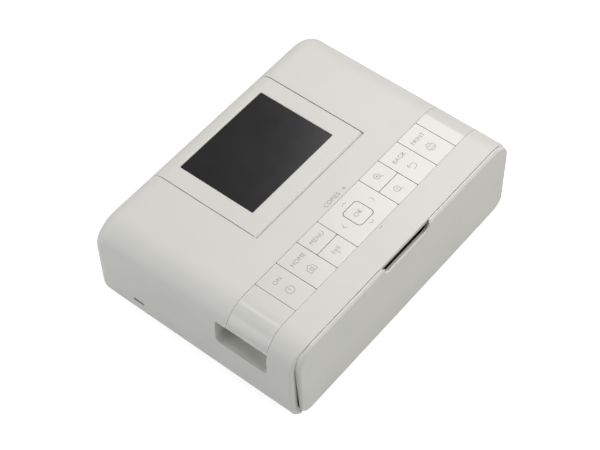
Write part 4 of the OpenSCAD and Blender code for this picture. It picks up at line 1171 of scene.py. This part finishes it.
# Each symbol's lines round its middle, in millimetres; a line marked True is closed
SIGNS = {
    "power": [(circle(0, 0, 2.3), True), ([(0, 1.5), (0, -0.2)], False)],
    "home": [([(-2.4, -2.2), (-2.4, 0.5), (0, 2.5), (2.4, 0.5), (2.4, -2.2)], True),
             ([(-0.8, -1.3), (-0.8, 0.3), (0.8, 0.3), (0.8, -1.3)], True)],
    "menu": [],
    "wireless": [([(0, -2.2), (0, 0.6)], False), (circle(0, 1.1, 0.45, 12), True),
                 *[(arc(0, 1.1, r, a0, a0 + 76, 8), False) for r in (1.5, 2.5)
                   for a0 in (-38, 142)]],
    "zoom_in": LENS + [([(-0.5, -0.3), (-0.5, 1.3)], False)],
    "zoom_out": LENS,
    "back": [([(-2.2, 1)] + arc(0.7, -0.6, 1.6, 90, -90, 12) + [(-1, -2.2)], False),
             ([(-1, 2.1), (-2.2, 1), (-1, -0.1)], False)],
    "print": [([(-2.4, -1.2), (-2.4, 0.8), (2.4, 0.8), (2.4, -1.2)], True),
              ([(-1.3, 0.8), (-1.3, 2.4), (1.3, 2.4), (1.3, 0.8)], False),
              ([(-1.3, -1.2), (-1.3, -2.4), (1.3, -2.4), (1.3, -1.2)], False)],
}
WORDS = {"power": "ON", "home": "HOME", "menu": "MENU", "back": "BACK", "print": "PRINT"}
WORD_UP, SIGN_DOWN = 5.4, -2.9      # from the strip's middle, on a key that has both
ARROWS = ((-1, 0, 11.2), (1, 0, 11.6), (0, 1, 9.2), (0, -1, 8.8))


def moved(lines, x, y):
    """Lines of a symbol, moved to x and y."""
    return [([(u + x, v + y) for u, v in points], closed) for points, closed in lines]


def arrow_sign(x, y, dx, dy, reach=1.1, half=1.7):
    """A chevron that points along dx, dy."""
    return [([(x - dy * half - dx * reach / 2, y + dx * half - dy * reach / 2),
              (x + dx * reach / 2, y + dy * reach / 2),
              (x + dy * half - dx * reach / 2, y - dx * half - dy * reach / 2)], False)]


class PRINTER_OT_print(bpy.types.Operator):
    """Words and symbols printed on the keys and beside the strip"""
    bl_idname = "printer.print"
    bl_label = "Printed words"

    def marks(self, name, body, lines=(), words=()):
        """One piece of lines and words that rides on a body."""
        bm = bmesh.new()
        for points, closed in lines:
            line(bm, points, mm("keys", "line_w"), closed)
        piece = piece_of(name, bm)
        join(piece, [word(text, x, y, h, name) for text, x, y, h in words])
        wear(piece, "printed", body)

    def execute(self, context):
        height = mm("keys", "word_h")
        for key in KEY_NAMES:
            low, high = node_box(key + "_key")
            x, y = (low[0] + high[0]) / 2, (low[1] + high[1]) / 2
            both = key in WORDS and SIGNS[key]
            sign_y, word_y = (STRIP_MID + SIGN_DOWN, STRIP_MID + WORD_UP) if both else (y, y)
            words = [(WORDS[key], x, word_y, height)] if key in WORDS else []
            self.marks("print_" + key, key + "_key_body", moved(SIGNS[key], x, sign_y), words)
        self.marks("print_ok", "ok_key_body", [], [("OK", 0, STRIP_MID, 2.7)])
        arrows = []
        for dx, dy, far in ARROWS:
            arrows += arrow_sign(dx * far, STRIP_MID + dy * far, dx, dy)
        self.marks("print_navigation", "nav_key_body", arrows)
        back, front = STRIP_BACK + 2.75, STRIP_Y - 1.6
        plus_minus = [([(7.0, back), (9.6, back)], False),
                      ([(8.3, back - 1.3), (8.3, back + 1.3)], False),
                      ([(-1.2, front), (1.2, front)], False)]
        self.marks("print_copies", "housing", plus_minus, [("COPIES", -1.6, back, 2.5)])
        return {"FINISHED"}


class PRINTER_OT_ink_door(bpy.types.Operator):
    """Hinged door on the right side, over the ink cassette"""
    bl_idname = "printer.ink_door"
    bl_label = "Ink door"

    def execute(self, context):
        wall = mm("housing", "wall")
        (_, front, low), high = DOOR_LOW, DOOR_HIGH[2]
        inner, edge = HALF_W - wall, DOOR_PIVOT[1] - wall / 2 - DOOR_GAP
        knuckle = KNUCKLE - DOOR_GAP
        piece = shell(wall, "side_door")
        cut(piece, [space(x1=inner - THROUGH), space(y1=front), space(y0=edge), space(z1=low),
                    space(z0=high)])
        added = [block((inner + 0.02, edge - 0.1, low), (HALF_W - SKIN, DOOR_PIVOT[1], knuckle)),
                 rod("z", *DOOR_PIVOT, wall / 2 - SKIN, low, knuckle, 24)]
        cut(piece, added, "UNION")
        cut(piece, [rod("z", *DOOR_PIVOT, DOOR_PIN, low - 1, KNUCKLE + 1, 16)])
        finish_edges(piece, 0.22)
        ribs = [block((inner - 1.6, front + 2.7, low + 3.7),
                      (inner + 0.1, front + 4.3, high - 9.7))]
        for z in (low + 2.7, high - 9.7):
            ribs.append(block((inner - 1.4, front + 4.2, z),
                              (inner + 0.1, DOOR_PIVOT[1] - 6, z + 1.2)))
        join(piece, [finish_edges(rib, 0.12) for rib in ribs])
        wear(piece, "shell", "ink_door_body", ["ink_door"])
        return {"FINISHED"}


class PRINTER_OT_back_fittings(bpy.types.Operator):
    """Sliding cover over the battery terminals, with grip grooves"""
    bl_idname = "printer.back_fittings"
    bl_label = "Back fittings"

    def execute(self, context):
        inner = BACK_Y - mm("housing", "wall") + 0.3
        piece = plate("y", BATTERY, 0.6, inner, BACK_Y - SKIN, 4, "battery_slide")
        cut(piece, [plate("y", (BATTERY_MID - 6, z, BATTERY_MID + 6, z + 0.8), 0.39,
                          BACK_Y - 0.6, BACK_Y + 2, 4) for z in GROOVES])
        finish_edges(piece, 0.2)
        tongues = [block((x - 1.5, BATTERY_LOW[1], BATTERY_LOW[2] + 2.7),
                         (x + 1.5, inner + 0.1, BATTERY_HIGH[2] - 2.7))
                   for x in (BATTERY_MID - 13, BATTERY_MID + 13)]
        join(piece, [finish_edges(tongue, 0.15) for tongue in tongues])
        wear(piece, "shell", "battery_door", ["battery_cover"])
        return {"FINISHED"}


# A blade's corners, how many there are, where the first stands and the step to the next
CONTACTS = {
    "battery_contacts": ((-0.5, -4, -2.5), (0.5, 0, 2.5), 5,
                         (BATTERY_MID - 7.2, BACK_Y - 6.5, 16), (3.6, 0, 0)),
    "drive_contacts": ((0, -0.5, -0.12), (7.5, 0.5, 0), 4,
                       (RECESS_X + 1.5, RECESS[0] + 9.2, 40.78), (0, 2.2, 0)),
    "card_contacts": ((0, -0.4, -0.3), (5, 0.4, 0), 9,
                      (RECESS_X + 8, RECESS[0] + 2.9, 47.3), (0, 2.45, 0)),
}


class PRINTER_OT_contacts(bpy.types.Operator):
    """Rows of gold contacts in the battery terminals, the drive port and the card slot"""
    bl_idname = "printer.contacts"
    bl_label = "Contacts"

    def execute(self, context):
        row = row_tree()
        for name, (low, high, count, first, step) in CONTACTS.items():
            blade = finish_edges(block(low, high, "blade"), 0.05)
            piece = repeat(row, blade, name, Count=count, First=metres(*first),
                           Step=metres(*step), Material=MATERIALS["contact"])
            wear(piece, "contact", "housing")
        return {"FINISHED"}


class PRINTER_OT_head_springs(bpy.types.Operator):
    """Coil springs that press the print head down"""
    bl_idname = "printer.head_springs"
    bl_label = "Head springs"

    def execute(self, context):
        (x0, y0, z0), (x1, y1, z1) = node_box("head_springs")
        r, wire = (y1 - y0) / 2, 0.35
        piece = spring_tree().grow(
            "press_springs", Turns=5.0, Radius=(r - wire) * MM, Wire=wire * MM,
            Height=(z1 - z0 - 2 * wire) * MM, Spread=metres(x1 - x0 - 2 * r, 0, 0),
            Foot=metres(x0 + r, (y0 + y1) / 2, z0 + wire), Material=MATERIALS["steel"])
        wear(piece, "steel", "housing", ["head_springs"])
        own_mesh(piece)
        return {"FINISHED"}


# Finishes of the pieces whose CAD shape is right
INNER = {
    "inner": ("inner_front_panel", "paper_tunnel", "screen_back", "battery_terminals"),
    "rubber": ("nav_pad", "key_mat", "platen_roller", "pickup_roller"),
    "board": ("main_board", "key_board"),
    "cassette": ("ink_cassette", "supply_spool", "takeup_spool", "dc_socket"),
    "gear": ("pickup_gear", "feed_gear", "platen_gear", "reduction_gear", "takeup_gear",
             "roller_bushes"),
    "film": ("ink_ribbon",),
    "ceramic": ("thermal_head",),
    "alloy": ("head_bracket",),
    "brass": ("motor_pinion",),
    "lever_blue": ("lock_lever",),
    "steel": ("display_module", "screen_hinge_pins", "left_frame", "right_frame", "cross_bar",
              "feed_roller", "pinch_roller", "pinch_bracket", "gear_stud", "motor_bracket",
              "feed_motor", "head_pivot_rod", "ink_door_pin", "io_sockets"),
}


class PRINTER_OT_inner_pieces(bpy.types.Operator):
    """Finishes of the pieces inside"""
    bl_idname = "printer.inner_pieces"
    bl_label = "Inner pieces"

    def execute(self, context):
        for material, names in INNER.items():
            for name in names:
                mesh = NODES[name].data
                mesh.materials.clear()
                mesh.materials.append(MATERIALS[material])
        return {"FINISHED"}


# Stage, in metres and degrees

FLOOR_HALF = 3.0
FLOOR_GLOW = 0.72               # what a camera sees of the floor on top of the lamps' light
SKY, SKY_POWER = (0.76, 0.83, 1.0), 0.105
WARM, NEUTRAL, COOL = (1, 0.975, 0.935), (0.98, 0.99, 0.96), (0.955, 0.995, 0.98)
LAMPS = {       # place, width and height, watts, colour
    "overhead": ((0.56, -0.12, 0.96), (0.7, 0.7), 4.8, WARM),
    "panel": ((0.66, 0.30, 0.97), (0.36, 0.36), 1.95, WARM),
    "top_strip": ((-0.20, 0.47, 1.10), (0.09, 0.6), 0.8, WARM),
    "front_key": ((0.0, -0.84, 0.93), (0.8, 0.8), 5.75, NEUTRAL),
    "back_fill": ((-0.85, 0.85, 0.36), (1.2, 0.8), 6.7, COOL),
}
LAMP_AIM = Vector((0, 0, 0.03))
LENS_LENGTH, SENSOR = 103.30, 36
CAMERA_TURN, CAMERA_HEIGHT, CAMERA_ROLL = -49.178, 52.606, -2.294
CAMERA_PLACE = (-422.68, -361.55, 752.45)       # in millimetres


class PRINTER_OT_stage(bpy.types.Operator):
    """Pale floor, soft studio light and the camera"""
    bl_idname = "printer.stage"
    bl_label = "Stage"

    def camera(self):
        """Camera that looks down at the front left corner."""
        data = bpy.data.cameras.new("camera")
        data.lens, data.sensor_width, data.sensor_fit = LENS_LENGTH, SENSOR, "HORIZONTAL"
        data.clip_start, data.clip_end = 0.01, 20
        camera = fresh("camera", data)
        turn, height, roll = map(math.radians, (CAMERA_TURN, CAMERA_HEIGHT, CAMERA_ROLL))
        back = Vector((math.sin(turn) * math.cos(height), -math.cos(turn) * math.cos(height),
                       math.sin(height)))
        right = (-back).cross(Vector((0, 0, 1))).normalized()
        up = right.cross(-back)
        turned_right = math.cos(roll) * right + math.sin(roll) * up
        turned_up = -math.sin(roll) * right + math.cos(roll) * up
        rows = [[turned_right[i], turned_up[i], back[i]] for i in range(3)]
        camera.matrix_world = Matrix.Translation(metres(*CAMERA_PLACE)) @ Matrix(rows).to_4x4()
        bpy.context.scene.camera = camera

    def floor(self):
        """Matt pale floor that a camera sees as white, and that keeps the shadow."""
        half = FLOOR_HALF / MM
        bm = bmesh.new()
        bm.faces.new([bm.verts.new((x, y, 0)) for x, y in
                      ((-half, -half), (half, -half), (half, half), (-half, half))])
        piece = piece_of("floor", bm)
        s = Shader("floor_paint", list(sizes("finish").floor), 0.9)
        s.bump(s.noise(scale=3), depth=0.02)
        path = s.add("ShaderNodeLightPath")
        seen = s.add("ShaderNodeMath", {0: path.outputs["Is Camera Ray"]}, operation="MULTIPLY")
        seen.inputs[1].default_value = FLOOR_GLOW
        glow = s.add("ShaderNodeEmission", {"Strength": seen.outputs[0]}, Color=(1, 1, 1, 1))
        both = s.add("ShaderNodeAddShader", {0: s.out.outputs[0], 1: glow.outputs[0]})
        s.tree.links.new(both.outputs[0], s.tree.nodes["Material Output"].inputs["Surface"])
        piece.data.materials.append(s.material)

    def world(self):
        """Soft grey light all round, which cameras, gloss and glass see as white."""
        world = bpy.data.worlds.new("studio")
        bpy.context.scene.world = world
        world.use_nodes = True
        tree = world.node_tree
        nodes = Nodes(tree)
        soft = tree.nodes["Background"]
        soft.inputs["Color"].default_value = (*SKY, 1)
        soft.inputs["Strength"].default_value = SKY_POWER
        white = nodes.add("ShaderNodeBackground", Strength=1.0)
        path = nodes.add("ShaderNodeLightPath")
        seen = path.outputs["Is Camera Ray"]
        for kind in ("Is Glossy Ray", "Is Transmission Ray"):
            seen = nodes.add("ShaderNodeMath", {0: seen, 1: path.outputs[kind]},
                             operation="MAXIMUM").outputs[0]
        mix = nodes.add("ShaderNodeMixShader", {0: seen, 1: soft.outputs[0], 2: white.outputs[0]})
        tree.links.new(mix.outputs[0], tree.nodes["World Output"].inputs["Surface"])

    def lamp(self, name, place, size, power, tint):
        """Square lamp that faces the printer."""
        data = bpy.data.lights.new(name, "AREA")
        data.shape, data.size, data.size_y = "RECTANGLE", *size
        data.energy, data.color = power, tint
        lamp = fresh(name, data)
        lamp.location = place
        aim = LAMP_AIM - lamp.location
        lamp.rotation_euler = aim.to_track_quat("-Z", "Y").to_euler()

    def execute(self, context):
        self.camera()
        self.floor()
        self.world()
        for name, (place, size, power, tint) in LAMPS.items():
            self.lamp(name, place, size, power, tint)
        context.scene.view_settings.view_transform = "Standard"
        return {"FINISHED"}


OPERATORS = (PRINTER_OT_finishes, PRINTER_OT_stage, PRINTER_OT_top_cover, PRINTER_OT_base,
             PRINTER_OT_feet_and_screws, PRINTER_OT_front_cover, PRINTER_OT_display_panel,
             PRINTER_OT_display_window, PRINTER_OT_strip_ends, PRINTER_OT_keys, PRINTER_OT_print,
             PRINTER_OT_ink_door, PRINTER_OT_back_fittings, PRINTER_OT_contacts,
             PRINTER_OT_head_springs, PRINTER_OT_inner_pieces)


class PRINTER_PT_panel(bpy.types.Panel):
    """Lists the sizes, the colours and the operators"""
    bl_label = "Photo printer"
    bl_idname = "PRINTER_PT_panel"
    bl_space_type = "VIEW_3D"
    bl_region_type = "UI"
    bl_category = "Printer"

    def draw(self, context):
        for name, group in GROUPS:
            box = self.layout.box()
            for prop in group.__annotations__:
                box.prop(getattr(context.scene, name), prop)
        for operator in OPERATORS:
            self.layout.operator(operator.bl_idname)


def register():
    """Registers the classes and hangs the groups on the scene."""
    for name, group in GROUPS:
        bpy.utils.register_class(group)
        setattr(bpy.types.Scene, name, PointerProperty(type=group))
    for operator in OPERATORS:
        bpy.utils.register_class(operator)
    bpy.utils.register_class(PRINTER_PT_panel)


def unregister():
    """Takes back what register does."""
    bpy.utils.unregister_class(PRINTER_PT_panel)
    for operator in reversed(OPERATORS):
        bpy.utils.unregister_class(operator)
    for name, group in reversed(GROUPS):
        delattr(bpy.types.Scene, name)
        bpy.utils.unregister_class(group)


def main():
    """Runs every operator in order."""
    register()
    for operator in OPERATORS:
        family, call = operator.bl_idname.split(".")
        getattr(getattr(bpy.ops, family), call)()


if __name__ == "__main__":
    main()
